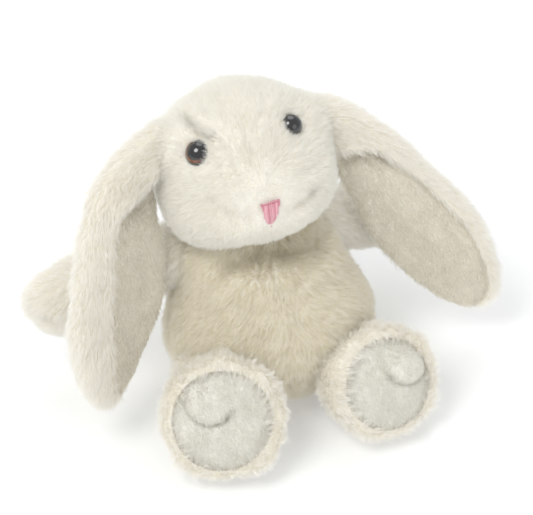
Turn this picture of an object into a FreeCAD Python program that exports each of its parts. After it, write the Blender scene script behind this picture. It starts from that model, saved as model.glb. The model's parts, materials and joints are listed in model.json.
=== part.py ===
import FreeCAD, Part
import math
import os

# Seated plush rabbit with long lop ears: sewn covers, fillings, threads and plastic eyes.
# Millimetres, +Z up.  The rabbit looks along -Y and +X is its own left.  The origin is
# on the floor under the middle of the seat.  Points given without a side are the left
# ones, mirrored for the right.
V = FreeCAD.Vector
ORIGIN = (0.0, 0.0, 0.0)
SIDE_SIGN = {"left": 1.0, "right": -1.0}

# ---------------------------------------------------------------- cloth and clearances
CLOTH = 1.6                     # plush cloth thickness
GAP = 0.35                      # air between a cover and its filling
FILL_INSET = CLOTH + GAP        # depth of a filling below the outer surface
JOINT_GAP = 0.8                 # air between bodies that move against each other
CORE_EXTRA_GAP = 0.6            # added to it round the torso stuffing
SEAM = 0.08                     # half the slit between two sewn panels
FAR = 200.0                     # beyond every piece

# ---------------------------------------------------------------- torso
TORSO_SECTIONS = [              # height, y of the middle, half width, half depth
    (0.0, -1.0, 26.0, 21.5),
    (5.0, -2.0, 34.5, 28.5),
    (15.0, -3.0, 40.3, 33.8),
    (29.0, -3.5, 41.8, 35.5),
    (44.0, -1.5, 39.3, 33.4),
    (57.0, 1.5, 34.3, 29.2),
    (67.0, 4.5, 28.3, 24.4),
    (75.0, 7.0, 21.5, 18.6),
    (80.0, 8.5, 14.5, 12.6),
]
SECTION_POINTS = 24             # points round one section
SIDE_SEAM_Y = 6.0
SEAT_SLIT = 0.1                 # between the seat panel and the panels above it

POUCH_CENTRE = (0.0, 2.0, 14.0)
POUCH_RADII = (21.0, 17.0, 10.5)
POUCH_WALL = 0.6
PELLET_INSET = 0.8
POUCH_CLEARANCE = 0.4

BACK_LINE = [(0, 20), (5, 26.5), (15, 30.8), (29, 32.0), (44, 31.9), (57, 30.7),
             (67, 28.9), (80, 21)]      # height, y of the back
STITCH_COUNT = 7
STITCH_Z0, STITCH_PITCH = 36.0, 4.0
STITCH_R, STITCH_LEN = 0.35, 4.0
STITCH_OUT = 1.3                # stitch axis behind the back line

NECK_RING_CENTRE = (0.0, 13.0, 65.8)    # seam that joins the head to the torso
NECK_RING_R = 17.0
NECK_THREAD_R = 0.7
NECK_GROOVE_EXTRA = 0.2         # extra room round the thread

# ---------------------------------------------------------------- head
HEAD_CENTRE = (0.0, 16.5, 97.5)         # middle of the skull
HEAD_RADII = (34.0, 31.5, 31.0)
HEAD_YAW, HEAD_ROLL, HEAD_PITCH = -4.0, -8.2, -22.5
NECK_PIVOT = (0.0, 13.0, 79.0)
NOD_RANGE = (-6.0, 5.0)                 # looking up, looking down
MUZZLE_CENTRE = (0.0, -15.5, -9.5)      # in the head's frame
MUZZLE_RADII = (24.5, 19.5, 18.5)
MUZZLE_ROOM = (4.5, 0.0, 3.0)           # added to the muzzle where the torso is carved
GUSSET_HALF_W = 7.5             # half width of the strip along the middle of the head
CHIN_Z = -9.0                   # gusset above, chin panel below, in the head's frame

EYE_SEAT = (20.0, -21.2, 13.6)  # in the head's frame
EYE_R = 5.25
EYE_H = 4.3                     # height of the dome
EYE_LIFT = 0.25                 # dome base above the seat
PUPIL_R = 3.3
PUPIL_Z = 2.2                   # foot of the pupil above the dome base
PUPIL_SLIT = 0.05
SHANK_R = 2.0
SHANK_LEN = 10.4
SHANK_DEPTH = 9.0               # inner end of the shank below the seat
SHANK_CLEARANCE = 0.15
WASHER_R, WASHER_T = 6.0, 1.3
WASHER_DEPTH = CLOTH + 2.3      # inner face of the washer below the seat
WASHER_CLEARANCE = 0.5
WASHER_POCKET_DEPTH = 11.0
EYE_HOLE_LEN = 12.0             # length of the shank hole and of the washer pocket

NOSE_Z = MUZZLE_CENTRE[2] - 1.0
NOSE_OUTLINE = [(-4.3, 4.6), (0, 5.2), (4.3, 4.6), (4.1, 1.6), (1.6, -3.2), (0, -4.6),
                (-1.6, -3.2), (-4.1, 1.6)]      # x, z from NOSE_Z
NOSE_THREAD_T, MOUTH_THREAD_T = 1.2, 0.8        # outer faces above the muzzle
EMBROIDERY_LIFT = 0.04                          # inner face above the muzzle
NOSE_REACH = 60.0                               # in front of the head's middle
MOUTH_HALF_W = 0.4
MOUTH_BOTTOM, MOUTH_TOP = 8.4, 5.0              # below NOSE_Z

# ---------------------------------------------------------------- ears
EAR_PATH = {                    # centre lines from root to tip
    "right": [(-34.9, 18.8, 115.6), (-44.5, 13.5, 107.5), (-55.0, 4.0, 90.0),
              (-62.0, -6.0, 63.0), (-69.5, -15.0, 38.0), (-73.5, -19.5, 17.0)],
    "left": [(34.3, 17.0, 118.0), (46.0, 12.3, 108.5), (60.0, 5.0, 88.0),
             (72.0, -3.6, 64.0), (84.0, -11.5, 41.0), (93.5, -17.5, 20.0)],
}
EAR_NORMAL = {"right": (0.47, -0.79, 0.39), "left": (-0.50, -0.78, 0.38)}   # to the front
EAR_STATIONS = (0.0, 0.06, 0.14, 0.24, 0.36, 0.48, 0.60, 0.72, 0.83, 0.92, 0.97, 1.0)
# fraction of the path, size there: half width, then bulge behind and in front of the seam
EAR_HALF_W = [(0.0, 4.0), (0.10, 8.5), (0.22, 13.2), (0.40, 17.3), (0.60, 18.6),
              (0.78, 16.8), (0.90, 13.0), (0.97, 8.6), (1.0, 6.4)]
EAR_BACK_T = [(0.0, 3.2), (0.10, 5.2), (0.3, 4.8), (0.6, 4.6), (0.85, 4.2), (1.0, 2.4)]
EAR_FRONT_T = [(0.0, 2.2), (0.10, 2.2), (0.3, 2.4), (0.6, 2.8), (0.85, 2.4), (1.0, 1.4)]
EAR_OUTER_CLOTH = CLOTH * 0.75  # thickest each cloth gets
EAR_LINING_CLOTH = 1.0
EAR_WADDING_GAP = 0.25
EAR_WADDING_INSET = 1.4         # from the ear's edge
EAR_WADDING_MIN = 0.12          # least bulge in front of the seam
EAR_ARC_STEPS = 8
EAR_LOOP_R, EAR_THREAD_R = 3.2, 0.45
EAR_LOOP_LIFT = 0.05            # above the skull

# ---------------------------------------------------------------- limbs and tail
SHOULDER = (30.0, 15.0, 60.0)
ARM_AXIS = (0.888, 0.255, -0.383)
ARM_LEN = 66.0                  # shoulder middle to the end of the paw
SHOULDER_R, PAW_R = 10.5, 13.8
ARM_RANGE = (-22.0, 6.0)        # lowering, lifting
ARM_STEP = 13.0                 # largest turn between two carved poses

HIP = (27.0, -17.0, 19.0)
HIP_R = 13.5
LEG_FLARE = 1.5                 # gain in radius from hip to foot
SOLE_CENTRE = (35.6, -53.0, 26.0)
SOLE_YAW, SOLE_ELEVATION = 18.0, 36.0
SOLE_T = 2.0
SOLE_SLIT = 0.15
SOLE_FILL_GAP = 0.2
FOOT_R = 22.0
FOOT_T = 15.0                   # half thickness of the foot's ellipsoid
FOOT_SETBACK = FOOT_T * 0.55    # its middle behind the sole
LEG_RANGE = (0.0, 18.0)         # lifting
LEG_STEP = 9.0
LEG_SEAM_X = -30.3              # on the right leg

TAIL_CENTRE = (0.0, 45.5, 17.0)
TAIL_R = 12.0
TAIL_ROOM = 2.6                 # added to the tail where the torso is carved

os.makedirs("parts", exist_ok=True)


# ---------------------------------------------------------------- helpers
def rotation(axis, degrees):
    return FreeCAD.Rotation(V(*axis), degrees)


def onto(axis):
    """Rotation that carries +Z onto an axis."""
    return FreeCAD.Rotation(V(0, 0, 1), V(*axis))


def place(shape, turn, move):
    moved = shape.copy()
    moved.Placement = FreeCAD.Placement(V(*move), turn).multiply(moved.Placement)
    return moved


def turned(shape, pivot, turn):
    """The shape turned about a pivot point."""
    centred = place(shape, FreeCAD.Rotation(), [-x for x in pivot])
    return place(centred, turn, pivot)


def sphere(centre, radius):
    return place(Part.makeSphere(radius), FreeCAD.Rotation(), centre)


def ellipsoid(centre, radii):
    matrix = FreeCAD.Matrix()
    matrix.scale(*radii)
    unit_ball = Part.makeSphere(1.0).transformGeometry(matrix)
    return place(unit_ball, FreeCAD.Rotation(), centre)


def cylinder(radius, length, base, axis):
    return place(Part.makeCylinder(radius, length), onto(axis), base)


def ring(centre, axis, radius, thread_r):
    return place(Part.makeTorus(radius, thread_r), onto(axis), centre)


def region(x0=-FAR, x1=FAR, y0=-FAR, y1=FAR, z0=-FAR, z1=FAR):
    """Box that bounds only the sides that are given."""
    return Part.makeBox(x1 - x0, y1 - y0, z1 - z0, V(x0, y0, z0))


def closed_curve(points):
    curve = Part.BSplineCurve()
    curve.interpolate(points, PeriodicFlag=True)
    return Part.Wire([curve.toShape()])


def table_value(table, at):
    """Value between table rows, eased a little towards each row."""
    for (a, value_a), (b, value_b) in zip(table, table[1:]):
        if at <= b:
            t = (at - a) / (b - a)
            t = t * t * (3 - 2 * t) * 0.35 + t * 0.65
            return value_a + (value_b - value_a) * t


def grown(radii, extra):
    return tuple(r + extra for r in radii)


def add(point, direction, factor=1.0):
    return tuple(p + factor * d for p, d in zip(point, direction))


def length_of(vector):
    return math.sqrt(sum(x * x for x in vector))


def unit(vector):
    length = length_of(vector)
    return tuple(x / length for x in vector)


def on_side(point, side):
    return (SIDE_SIGN[side] * point[0], point[1], point[2])


def steps(low, high, largest):
    count = math.ceil((high - low) / largest)
    return [low + (high - low) * i / count for i in range(count + 1)]


def save(name, shape):
    """Write the solids of a shape, without slivers left by the cuts."""
    keep = [solid for solid in shape.Solids if solid.Volume > 0.5]
    out = keep[0] if len(keep) == 1 else Part.makeCompound(keep)
    out.exportStep("parts/%s.step" % name)


def save_pair(name, right_shape):
    """Write a right limb piece and its mirror image."""
    save(name + "_right", right_shape)
    save(name + "_left", right_shape.mirror(V(0, 0, 0), V(1, 0, 0)))


# ---------------------------------------------------------------- bodies
# inset is the depth below the outer surface; a negative inset swells the body
HEAD_TURN = (rotation((0, 0, 1), HEAD_YAW)
             .multiply(rotation((0, 1, 0), HEAD_ROLL))
             .multiply(rotation((1, 0, 0), HEAD_PITCH)))


def in_head(shape):
    """Carry a shape from the head's frame to its place."""
    return place(shape, HEAD_TURN, HEAD_CENTRE)


def head_solid(inset):
    skull = ellipsoid(ORIGIN, grown(HEAD_RADII, -inset))
    return skull.fuse(ellipsoid(MUZZLE_CENTRE, grown(MUZZLE_RADII, -inset)))


def torso_solid(inset):
    wires = []
    last = len(TORSO_SECTIONS) - 1
    for i, (z, middle_y, half_w, half_d) in enumerate(TORSO_SECTIONS):
        if i == 0:
            z += inset
        elif i == last:
            z -= inset
        points = []
        for k in range(SECTION_POINTS):
            angle = 2 * math.pi * k / SECTION_POINTS
            points.append(V((half_w - inset) * math.cos(angle),
                            middle_y + (half_d - inset) * math.sin(angle), z))
        wires.append(closed_curve(points))
    return Part.makeLoft(wires, True, False)


def arm_bodies(side, inset):
    """Shoulder ball, tapered tube and paw ball."""
    shoulder = on_side(SHOULDER, side)
    axis = unit(on_side(ARM_AXIS, side))
    length = ARM_LEN - PAW_R
    tube = Part.makeCone(SHOULDER_R - inset, PAW_R - inset, length)
    return [sphere(shoulder, SHOULDER_R - inset),
            place(tube, onto(axis), shoulder),
            sphere(add(shoulder, axis, length), PAW_R - inset)]


def arm_solid(inset):
    ball, tube, paw = arm_bodies("right", inset)
    return ball.fuse(tube).fuse(paw)


def sole_axis(side):
    """Direction the sole faces."""
    yaw, elevation = math.radians(SOLE_YAW), math.radians(SOLE_ELEVATION)
    return on_side((math.sin(yaw) * math.cos(elevation),
                    -math.cos(yaw) * math.cos(elevation),
                    math.sin(elevation)), side)


def leg_bodies(side, inset):
    """Hip ball, tapered tube and flattened foot."""
    hip = on_side(HIP, side)
    axis = sole_axis(side)
    heart = add(on_side(SOLE_CENTRE, side), axis, -FOOT_SETBACK)
    foot = ellipsoid(ORIGIN, (FOOT_R - inset, FOOT_R - inset, FOOT_T - inset))
    reach = add(heart, hip, -1.0)
    tube = Part.makeCone(HIP_R - inset, HIP_R + LEG_FLARE - inset, length_of(reach))
    return [sphere(hip, HIP_R - inset),
            place(tube, onto(unit(reach)), hip),
            place(foot, onto(axis), heart)]


def beyond_sole(depth, radius=40, length=40):
    """Disc that starts at a depth under the right sole and runs outwards."""
    axis = sole_axis("right")
    return cylinder(radius, length, add(on_side(SOLE_CENTRE, "right"), axis, -depth), axis)


def leg_solid(inset):
    ball, tube, foot = leg_bodies("right", inset)
    return ball.fuse(tube).fuse(foot).cut(beyond_sole(inset, radius=60))


def tail_solid(inset):
    return sphere(TAIL_CENTRE, TAIL_R - inset)


# ---------------------------------------------------------------- torso
def carve(shape, clearance):
    """Take the room that the neighbouring bodies need out of a torso solid."""
    cutters = []
    skull = in_head(ellipsoid(ORIGIN, grown(HEAD_RADII, clearance)))
    for nod in NOD_RANGE:
        cutters.append(turned(skull, NECK_PIVOT, rotation((1, 0, 0), nod)))
    room = grown(add(MUZZLE_RADII, MUZZLE_ROOM), clearance)
    cutters.append(turned(in_head(ellipsoid(MUZZLE_CENTRE, room)), NECK_PIVOT,
                          rotation((1, 0, 0), sum(NOD_RANGE) / 2)))
    for side, sign in SIDE_SIGN.items():
        ball, tube, _ = arm_bodies(side, -clearance)
        cutters.append(ball)
        for angle in steps(*ARM_RANGE, ARM_STEP):
            lift = rotation((0, -sign, 0), angle)
            cutters.append(turned(tube, on_side(SHOULDER, side), lift))
        ball, tube, foot = leg_bodies(side, -clearance)
        cutters.append(ball)
        for angle in steps(*LEG_RANGE, LEG_STEP):
            lift = rotation((-1, 0, 0), angle)
            for body in (tube, foot):
                cutters.append(turned(body, on_side(HIP, side), lift))
    cutters.append(sphere(TAIL_CENTRE, TAIL_R + TAIL_ROOM + clearance))
    cutters.append(ring(NECK_RING_CENTRE, (0, 0, 1), NECK_RING_R,
                        NECK_THREAD_R + clearance + NECK_GROOVE_EXTRA))
    for cutter in cutters:
        shape = shape.cut(cutter)
    return shape


def build_torso_cover():
    """Four panels and the seat, open where head, arms and legs join."""
    skin = carve(torso_solid(0.0).cut(torso_solid(CLOTH)), JOINT_GAP)
    above_seat = CLOTH + SEAT_SLIT
    for depth, ys in (("front", {"y1": SIDE_SEAM_Y - SEAM}),
                      ("back", {"y0": SIDE_SEAM_Y + SEAM})):
        for side, xs in (("left", {"x0": SEAM}), ("right", {"x1": -SEAM})):
            panel = skin.common(region(z0=above_seat, **xs, **ys))
            save("torso_%s_%s" % (depth, side), panel)
    save("seat_panel", skin.common(region(z1=CLOTH)))


def build_torso_filling():
    """Bean pouch low in the torso, its pellets, and the stuffing round it."""
    def pouch(extra):
        return ellipsoid(POUCH_CENTRE, grown(POUCH_RADII, extra))

    save("bean_pouch", pouch(0.0).cut(pouch(-POUCH_WALL)))
    save("bean_pellets", pouch(-PELLET_INSET))
    core = carve(torso_solid(FILL_INSET), JOINT_GAP + CORE_EXTRA_GAP)
    save("torso_stuffing", core.cut(pouch(POUCH_CLEARANCE)))


def build_closing_stitches():
    """Ladder stitches across the back seam, just outside the cloth."""
    stitches = []
    for i in range(STITCH_COUNT):
        z = STITCH_Z0 + STITCH_PITCH * i
        stitches.append(place(Part.makeCylinder(STITCH_R, STITCH_LEN),
                              rotation((0, 1, 0), 90),
                              (-STITCH_LEN / 2, table_value(BACK_LINE, z) + STITCH_OUT, z)))
    save("closing_stitches", Part.makeCompound(stitches))


# ---------------------------------------------------------------- head
def build_eye(side):
    """Save one eye; return its pupil, washer, shank hole and washer pocket."""
    seat = on_side(EYE_SEAT, side)
    axis = unit(tuple(p / r ** 2 for p, r in zip(seat, HEAD_RADII)))
    base = add(seat, axis, EYE_LIFT)

    dome_r = (EYE_R ** 2 + EYE_H ** 2) / (2 * EYE_H)
    dome = sphere((0, 0, EYE_H - dome_r), dome_r).common(region(z0=0))
    dome = place(dome, onto(axis), base)
    core_len = 9.0              # well past the top of the dome
    pupil = dome.common(cylinder(PUPIL_R, core_len, add(base, axis, PUPIL_Z), axis))
    socket = cylinder(PUPIL_R + PUPIL_SLIT, core_len,
                      add(base, axis, PUPIL_Z - PUPIL_SLIT), axis)
    shank_end = add(seat, axis, -SHANK_DEPTH)
    shank = cylinder(SHANK_R, SHANK_LEN, shank_end, axis)
    save("eye_" + side, in_head(dome.cut(socket).fuse(shank)))

    washer = Part.makeCylinder(WASHER_R, WASHER_T).cut(Part.makeCylinder(SHANK_R, WASHER_T))
    washer = place(washer, onto(axis), add(seat, axis, -WASHER_DEPTH))
    hole = cylinder(SHANK_R + SHANK_CLEARANCE, EYE_HOLE_LEN, shank_end, axis)
    pocket = cylinder(WASHER_R + WASHER_CLEARANCE, EYE_HOLE_LEN,
                      add(seat, axis, -WASHER_POCKET_DEPTH), axis)
    return in_head(pupil), in_head(washer), hole, pocket


def build_head():
    skin = head_solid(0.0).cut(head_solid(CLOTH))
    stuffing = head_solid(FILL_INSET)
    pupils, washers = [], []
    for side in SIDE_SIGN:
        pupil, washer, hole, pocket = build_eye(side)
        pupils.append(pupil)
        washers.append(washer)
        skin = skin.cut(hole)
        stuffing = stuffing.cut(pocket)
    save("eye_pupils", Part.makeCompound(pupils))
    save("eye_washers", Part.makeCompound(washers))
    save("head_stuffing", in_head(stuffing))

    outside, inside = GUSSET_HALF_W + SEAM, GUSSET_HALF_W - SEAM
    panels = {
        "head_side_left": region(x0=outside),
        "head_side_right": region(x1=-outside),
        "head_gusset": region(x0=-inside, x1=inside, z0=CHIN_Z + SEAM),
        "chin_panel": region(x0=-inside, x1=inside, z1=CHIN_Z - SEAM),
    }
    for name, bounds in panels.items():
        save(name, in_head(skin.common(bounds)))


def build_embroidery():
    """Satin-stitched nose and the stitch below it, on the tip of the muzzle."""
    def thread_layer(thickness):
        outer = ellipsoid(MUZZLE_CENTRE, grown(MUZZLE_RADII, thickness))
        return outer.cut(ellipsoid(MUZZLE_CENTRE, grown(MUZZLE_RADII, EMBROIDERY_LIFT)))

    outline = closed_curve([V(x, 0, NOSE_Z + z) for x, z in NOSE_OUTLINE])
    prism = Part.Face(outline).extrude(V(0, -NOSE_REACH, 0))
    save("nose_embroidery", in_head(thread_layer(NOSE_THREAD_T).common(prism)))
    strip = region(x0=-MOUTH_HALF_W, x1=MOUTH_HALF_W, y1=0,
                   z0=NOSE_Z - MOUTH_BOTTOM, z1=NOSE_Z - MOUTH_TOP)
    save("mouth_stitch", in_head(thread_layer(MOUTH_THREAD_T).common(strip)))


# ---------------------------------------------------------------- ears
def ear_profile(layer, at):
    """First and second arc bulge, half width and shift off the seam plane."""
    half_w = table_value(EAR_HALF_W, at)
    back = table_value(EAR_BACK_T, at)
    front = table_value(EAR_FRONT_T, at)
    back_inner = back - min(EAR_OUTER_CLOTH, back * 0.5)
    front_inner = front - min(EAR_LINING_CLOTH, front * 0.55)
    if layer == "outer":
        return -back, -back_inner, half_w, -SEAM
    if layer == "lining":
        return front, front_inner, half_w, SEAM
    return (-(back_inner - EAR_WADDING_GAP),
            max(front_inner - EAR_WADDING_GAP, EAR_WADDING_MIN),
            half_w - EAR_WADDING_INSET, 0.0)


def ear_layer(side, layer):
    """Loft of two-arc sections along the ear's centre line."""
    path = Part.BSplineCurve()
    path.interpolate([V(*point) for point in EAR_PATH[side]])
    total = path.length()
    facing = V(*EAR_NORMAL[side])
    wires = []
    for at in EAR_STATIONS:
        parameter = path.parameterAtDistance(total * at)
        centre = path.value(parameter)
        tangent = path.tangent(parameter)[0]
        normal = facing - tangent * facing.dot(tangent)
        normal.normalize()
        across = tangent.cross(normal)
        first, second, half_w, shift = ear_profile(layer, at)
        edges = []
        for bulge, direction in ((first, 1), (second, -1)):
            points = []
            for i in range(EAR_ARC_STEPS + 1):
                x = math.cos(math.pi * i / EAR_ARC_STEPS) * direction
                rise = max(0.0, 1 - x * x) ** 0.5
                points.append(centre + across * (half_w * x)
                              + normal * (shift + bulge * rise))
            arc = Part.BSplineCurve()
            arc.interpolate(points)
            edges.append(arc.toShape())
        wires.append(Part.Wire(edges))
    return Part.makeLoft(wires, True, False)


def build_ears():
    """Ear layers, and the thread loops that hold the roots in the head seam."""
    loops = []
    for side in SIDE_SIGN:
        for layer in ("outer", "lining", "wadding"):
            save("ear_%s_%s" % (layer, side), ear_layer(side, layer))
        outward = unit(add(EAR_PATH[side][0], HEAD_CENTRE, -1.0))
        local = HEAD_TURN.inverted().multVec(V(*outward))
        skull_reach = 1.0 / length_of([p / r for p, r in zip(local, HEAD_RADII)])
        loops.append(ring(add(HEAD_CENTRE, outward, skull_reach + EAR_LOOP_LIFT),
                          outward, EAR_LOOP_R, EAR_THREAD_R))
    save("ear_root_threads", Part.makeCompound(loops))


# ---------------------------------------------------------------- limbs and tail
def build_arms():
    skin = arm_solid(0.0).cut(arm_solid(CLOTH))
    shoulder = on_side(SHOULDER, "right")
    front = V(0, 0, 1).cross(V(*on_side(ARM_AXIS, "right")))
    front.normalize()
    for name, facing in (("arm_front", front), ("arm_back", front * -1.0)):
        half = cylinder(120, 60, add(shoulder, facing, SEAM), facing)
        save_pair(name, skin.common(half))
    save_pair("arm_stuffing", arm_solid(FILL_INSET))


def build_legs():
    whole = leg_solid(0.0)
    cover = whole.cut(leg_solid(CLOTH)).cut(beyond_sole(SOLE_T))
    save_pair("leg_outer", cover.common(region(x1=LEG_SEAM_X - SEAM)))
    save_pair("leg_inner", cover.common(region(x0=LEG_SEAM_X + SEAM)))
    sole_t = SOLE_T - SOLE_SLIT
    save_pair("sole", whole.common(beyond_sole(sole_t, length=sole_t)))
    save_pair("foot_stuffing", leg_solid(FILL_INSET).cut(beyond_sole(SOLE_T + SOLE_FILL_GAP)))


def build_tail():
    save("tail_cover", tail_solid(0.0).cut(tail_solid(CLOTH)))
    save("tail_stuffing", tail_solid(FILL_INSET))


build_torso_cover()
build_torso_filling()
build_closing_stitches()
save("neck_seam_thread", ring(NECK_RING_CENTRE, (0, 0, 1), NECK_RING_R, NECK_THREAD_R))
build_head()
build_embroidery()
build_ears()
build_arms()
build_legs()
build_tail()
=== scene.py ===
import bpy, bmesh, math, json
import numpy as np
from mathutils import Vector, Matrix
from mathutils.bvhtree import BVHTree


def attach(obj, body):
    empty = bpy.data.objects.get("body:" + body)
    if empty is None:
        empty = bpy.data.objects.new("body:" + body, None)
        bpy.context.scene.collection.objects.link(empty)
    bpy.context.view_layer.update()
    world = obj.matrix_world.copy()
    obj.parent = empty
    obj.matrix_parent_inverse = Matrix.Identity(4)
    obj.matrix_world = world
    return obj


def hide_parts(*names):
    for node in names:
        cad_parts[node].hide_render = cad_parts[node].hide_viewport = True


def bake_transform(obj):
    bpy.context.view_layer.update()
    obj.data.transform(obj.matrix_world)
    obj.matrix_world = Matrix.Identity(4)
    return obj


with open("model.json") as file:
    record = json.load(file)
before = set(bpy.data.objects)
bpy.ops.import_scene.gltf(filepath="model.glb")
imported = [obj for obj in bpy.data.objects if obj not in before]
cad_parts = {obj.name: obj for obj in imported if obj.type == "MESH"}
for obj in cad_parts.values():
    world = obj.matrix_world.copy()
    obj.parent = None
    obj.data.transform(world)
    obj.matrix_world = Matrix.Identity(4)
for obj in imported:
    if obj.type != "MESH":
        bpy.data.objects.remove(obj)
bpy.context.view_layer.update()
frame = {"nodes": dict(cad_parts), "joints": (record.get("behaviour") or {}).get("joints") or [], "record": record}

MM = 0.001
DENS = 1.0

# ------------------------------------------------------------------ numbers shared with the CAD part (mm)
def rx(t):
    t = math.radians(t); return np.array([[1, 0, 0], [0, math.cos(t), -math.sin(t)], [0, math.sin(t), math.cos(t)]])
def ry(t):
    t = math.radians(t); return np.array([[math.cos(t), 0, math.sin(t)], [0, 1, 0], [-math.sin(t), 0, math.cos(t)]])
def rz(t):
    t = math.radians(t); return np.array([[math.cos(t), -math.sin(t), 0], [math.sin(t), math.cos(t), 0], [0, 0, 1]])
def unit(v):
    v = np.asarray(v, float); return v / np.linalg.norm(v, axis=-1, keepdims=True)
def A(*v):
    return np.array(v, float)

JOINTS = frame["joints"]
if isinstance(JOINTS, dict):
    JOINTS = list(JOINTS.values())
def joint_pos(name):
    for j in frame["record"]["behaviour"]["joints"]:
        if j["name"] == name:
            return np.array(j["pos_m"], float) * 1000.0

HEAD_C = A(0.0, 16.5, 97.5)
HEAD_M = rz(-4.0) @ ry(-8.2) @ rx(-22.5)
HIP = {"left": joint_pos("leg_left_lift"), "right": joint_pos("leg_right_lift")}
SHOULDER = {"left": joint_pos("arm_left_lift"), "right": joint_pos("arm_right_lift")}
SIGN = {"left": 1.0, "right": -1.0}
def side_pt(p, side):
    return A(p[0] * SIGN[side], p[1], p[2])
# the stuffed feet loll a little away from the even pattern: the left one turns inwards, the right one sits back
SOLE_C = {"left": A(34.6, -53.4, 24.8), "right": A(-34.4, -50.8, 27.0)}
YAW = {"left": 7.0, "right": 17.0}
def sole_n(side):
    y, e = math.radians(YAW[side]), math.radians(36.0)
    return side_pt((math.sin(y) * math.cos(e), -math.cos(y) * math.cos(e), math.sin(e)), side)
ARM_D = {s: unit(side_pt((0.888, 0.255, -0.383), s)) for s in SIGN}
TAIL_C = A(0.0, 45.5, 17.0)
# middle line and half width of each stuffed ear skin; both keep to the CAD ears, whose seams are drawn in a little
EAR_LINE = {
    "right": [(-17.0, 17.0, 113.5, 6.0), (-31.5, 16.8, 113.0, 7.6), (-40.7, 15.4, 108.5, 8.2), (-47.5, 12.4, 102.0, 11.4),
              (-51.8, 7.6, 94.7, 15.8), (-54.9, 2.2, 87.0, 19.3), (-56.5, -2.1, 76.8, 21.7), (-60.2, -7.4, 61.9, 22.5),
              (-63.4, -10.7, 52.7, 20.9), (-67.1, -14.6, 41.4, 17.0), (-69.1, -17.5, 31.2, 12.6), (-69.9, -19.4, 24.0, 7.6),
              (-69.9, -20.1, 21.4, 5.0)],
    "left": [(15.0, 18.5, 110.5, 6.0), (28.0, 14.8, 111.6, 7.6), (39.7, 11.5, 106.0, 8.6), (45.7, 8.9, 98.3, 11.5),
             (52.2, 5.8, 88.3, 14.9), (58.6, 2.1, 77.5, 17.1), (65.0, -1.6, 67.6, 18.8), (71.2, -5.0, 58.9, 19.5),
             (77.6, -8.6, 49.1, 18.8), (83.6, -11.9, 39.5, 16.6), (90.0, -14.9, 29.4, 13.1), (94.8, -17.4, 21.8, 7.6),
             (96.0, -18.3, 19.8, 5.0)],
}
EAR_NORMAL = {"right": unit((0.47, -0.79, 0.39)), "left": unit((-0.50, -0.78, 0.38))}
# the edge between pile and lining: (how far along the ear, how far across it)
EAR_EDGE = {
    "right": [(0.165, -1.25), (0.180, -1.0), (0.215, -0.72), (0.253, -0.43), (0.302, -0.19), (0.332, 0.05), (0.358, 0.24),
              (0.390, 0.36), (0.433, 0.39), (0.520, 0.39), (0.655, 0.35), (0.795, 0.21), (0.898, 0.09), (0.955, -0.05),
              (0.985, -0.6), (0.992, -1.25)],
    "left": [(0.215, -1.25), (0.225, -1.0), (0.245, -0.7), (0.262, -0.4), (0.272, -0.1), (0.285, 0.2), (0.320, 0.5),
             (0.397, 0.57), (0.472, 0.66), (0.555, 0.69), (0.632, 0.73), (0.703, 0.77), (0.807, 0.77), (0.885, 0.73),
             (0.953, 0.60), (0.978, 0.2), (0.988, -0.6), (0.994, -1.25)],
}

# ------------------------------------------------------------------ small tools
def value_noise(p, seed, cell):
    """Smooth noise in 3-D, about -1..1, on points in mm."""
    q = np.asarray(p, float) / cell
    i = np.floor(q).astype(np.int64); f = q - i
    f = f * f * (3 - 2 * f)
    out = 0.0
    for dx in (0, 1):
        for dy in (0, 1):
            for dz in (0, 1):
                h = (i[:, 0] + dx) * 374761393 + (i[:, 1] + dy) * 668265263 + (i[:, 2] + dz) * 2147483647 + seed * 974711
                h = (h ^ (h >> 13)) * 1274126177
                h = (h ^ (h >> 16)) & 0xFFFFFF
                v = h / float(0x7FFFFF) - 1.0
                w = (f[:, 0] if dx else 1 - f[:, 0]) * (f[:, 1] if dy else 1 - f[:, 1]) * (f[:, 2] if dz else 1 - f[:, 2])
                out = out + v * w
    return out

def fbm(p, seed, cell, octaves=3):
    s, a, t = 0.0, 1.0, 0.0
    for k in range(octaves):
        s = s + a * value_noise(p, seed + 17 * k, cell / (2.03 ** k)); t += a; a *= 0.5
    return s / t

_cs = {}
def cube_sphere(n):
    if n in _cs:
        return _cs[n]
    bm = bmesh.new()
    bmesh.ops.create_cube(bm, size=2.0)
    bmesh.ops.subdivide_edges(bm, edges=bm.edges[:], cuts=n - 1, use_grid_fill=True)
    co = np.array([v.co[:] for v in bm.verts])
    faces = [[v.index for v in f.verts] for f in bm.faces]
    bm.free()
    co = np.tan(co * (math.pi / 4))
    dirs = unit(co)
    _cs[n] = (dirs, faces)
    return _cs[n]

def dist(p, prim):
    c, r, R = prim
    q = (p - c) @ (R if R is not None else np.eye(3))
    l = np.linalg.norm(q / r, axis=1)
    g = np.linalg.norm(q / (r * r), axis=1)
    return l * (l - 1) / np.maximum(g, 1e-6)

def field(p, prims, k):
    d = np.stack([dist(p, pr) for pr in prims])
    m = d.min(0)
    return m - k * np.log(np.exp(-(d - m) / k).sum(0))

def star(centre, prims, k, n, rmax=110.0):
    dirs, faces = cube_sphere(n)
    lo, hi = np.zeros(len(dirs)), np.full(len(dirs), rmax)
    for _ in range(26):
        mid = (lo + hi) / 2
        inside = field(centre + dirs * mid[:, None], prims, k) < 0
        lo = np.where(inside, mid, lo); hi = np.where(inside, hi, mid)
    return centre + dirs * ((lo + hi) / 2)[:, None], faces

def vertex_normals(co, faces):
    f = np.array([q if len(q) == 4 else (q[0], q[1], q[2], q[2]) for q in faces])
    a, b, c, d = co[f[:, 0]], co[f[:, 1]], co[f[:, 2]], co[f[:, 3]]
    n = np.cross(c - a, d - b)
    out = np.zeros_like(co)
    for k in range(4):
        np.add.at(out, f[:, k], n)
    return unit(out + 1e-12)

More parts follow.
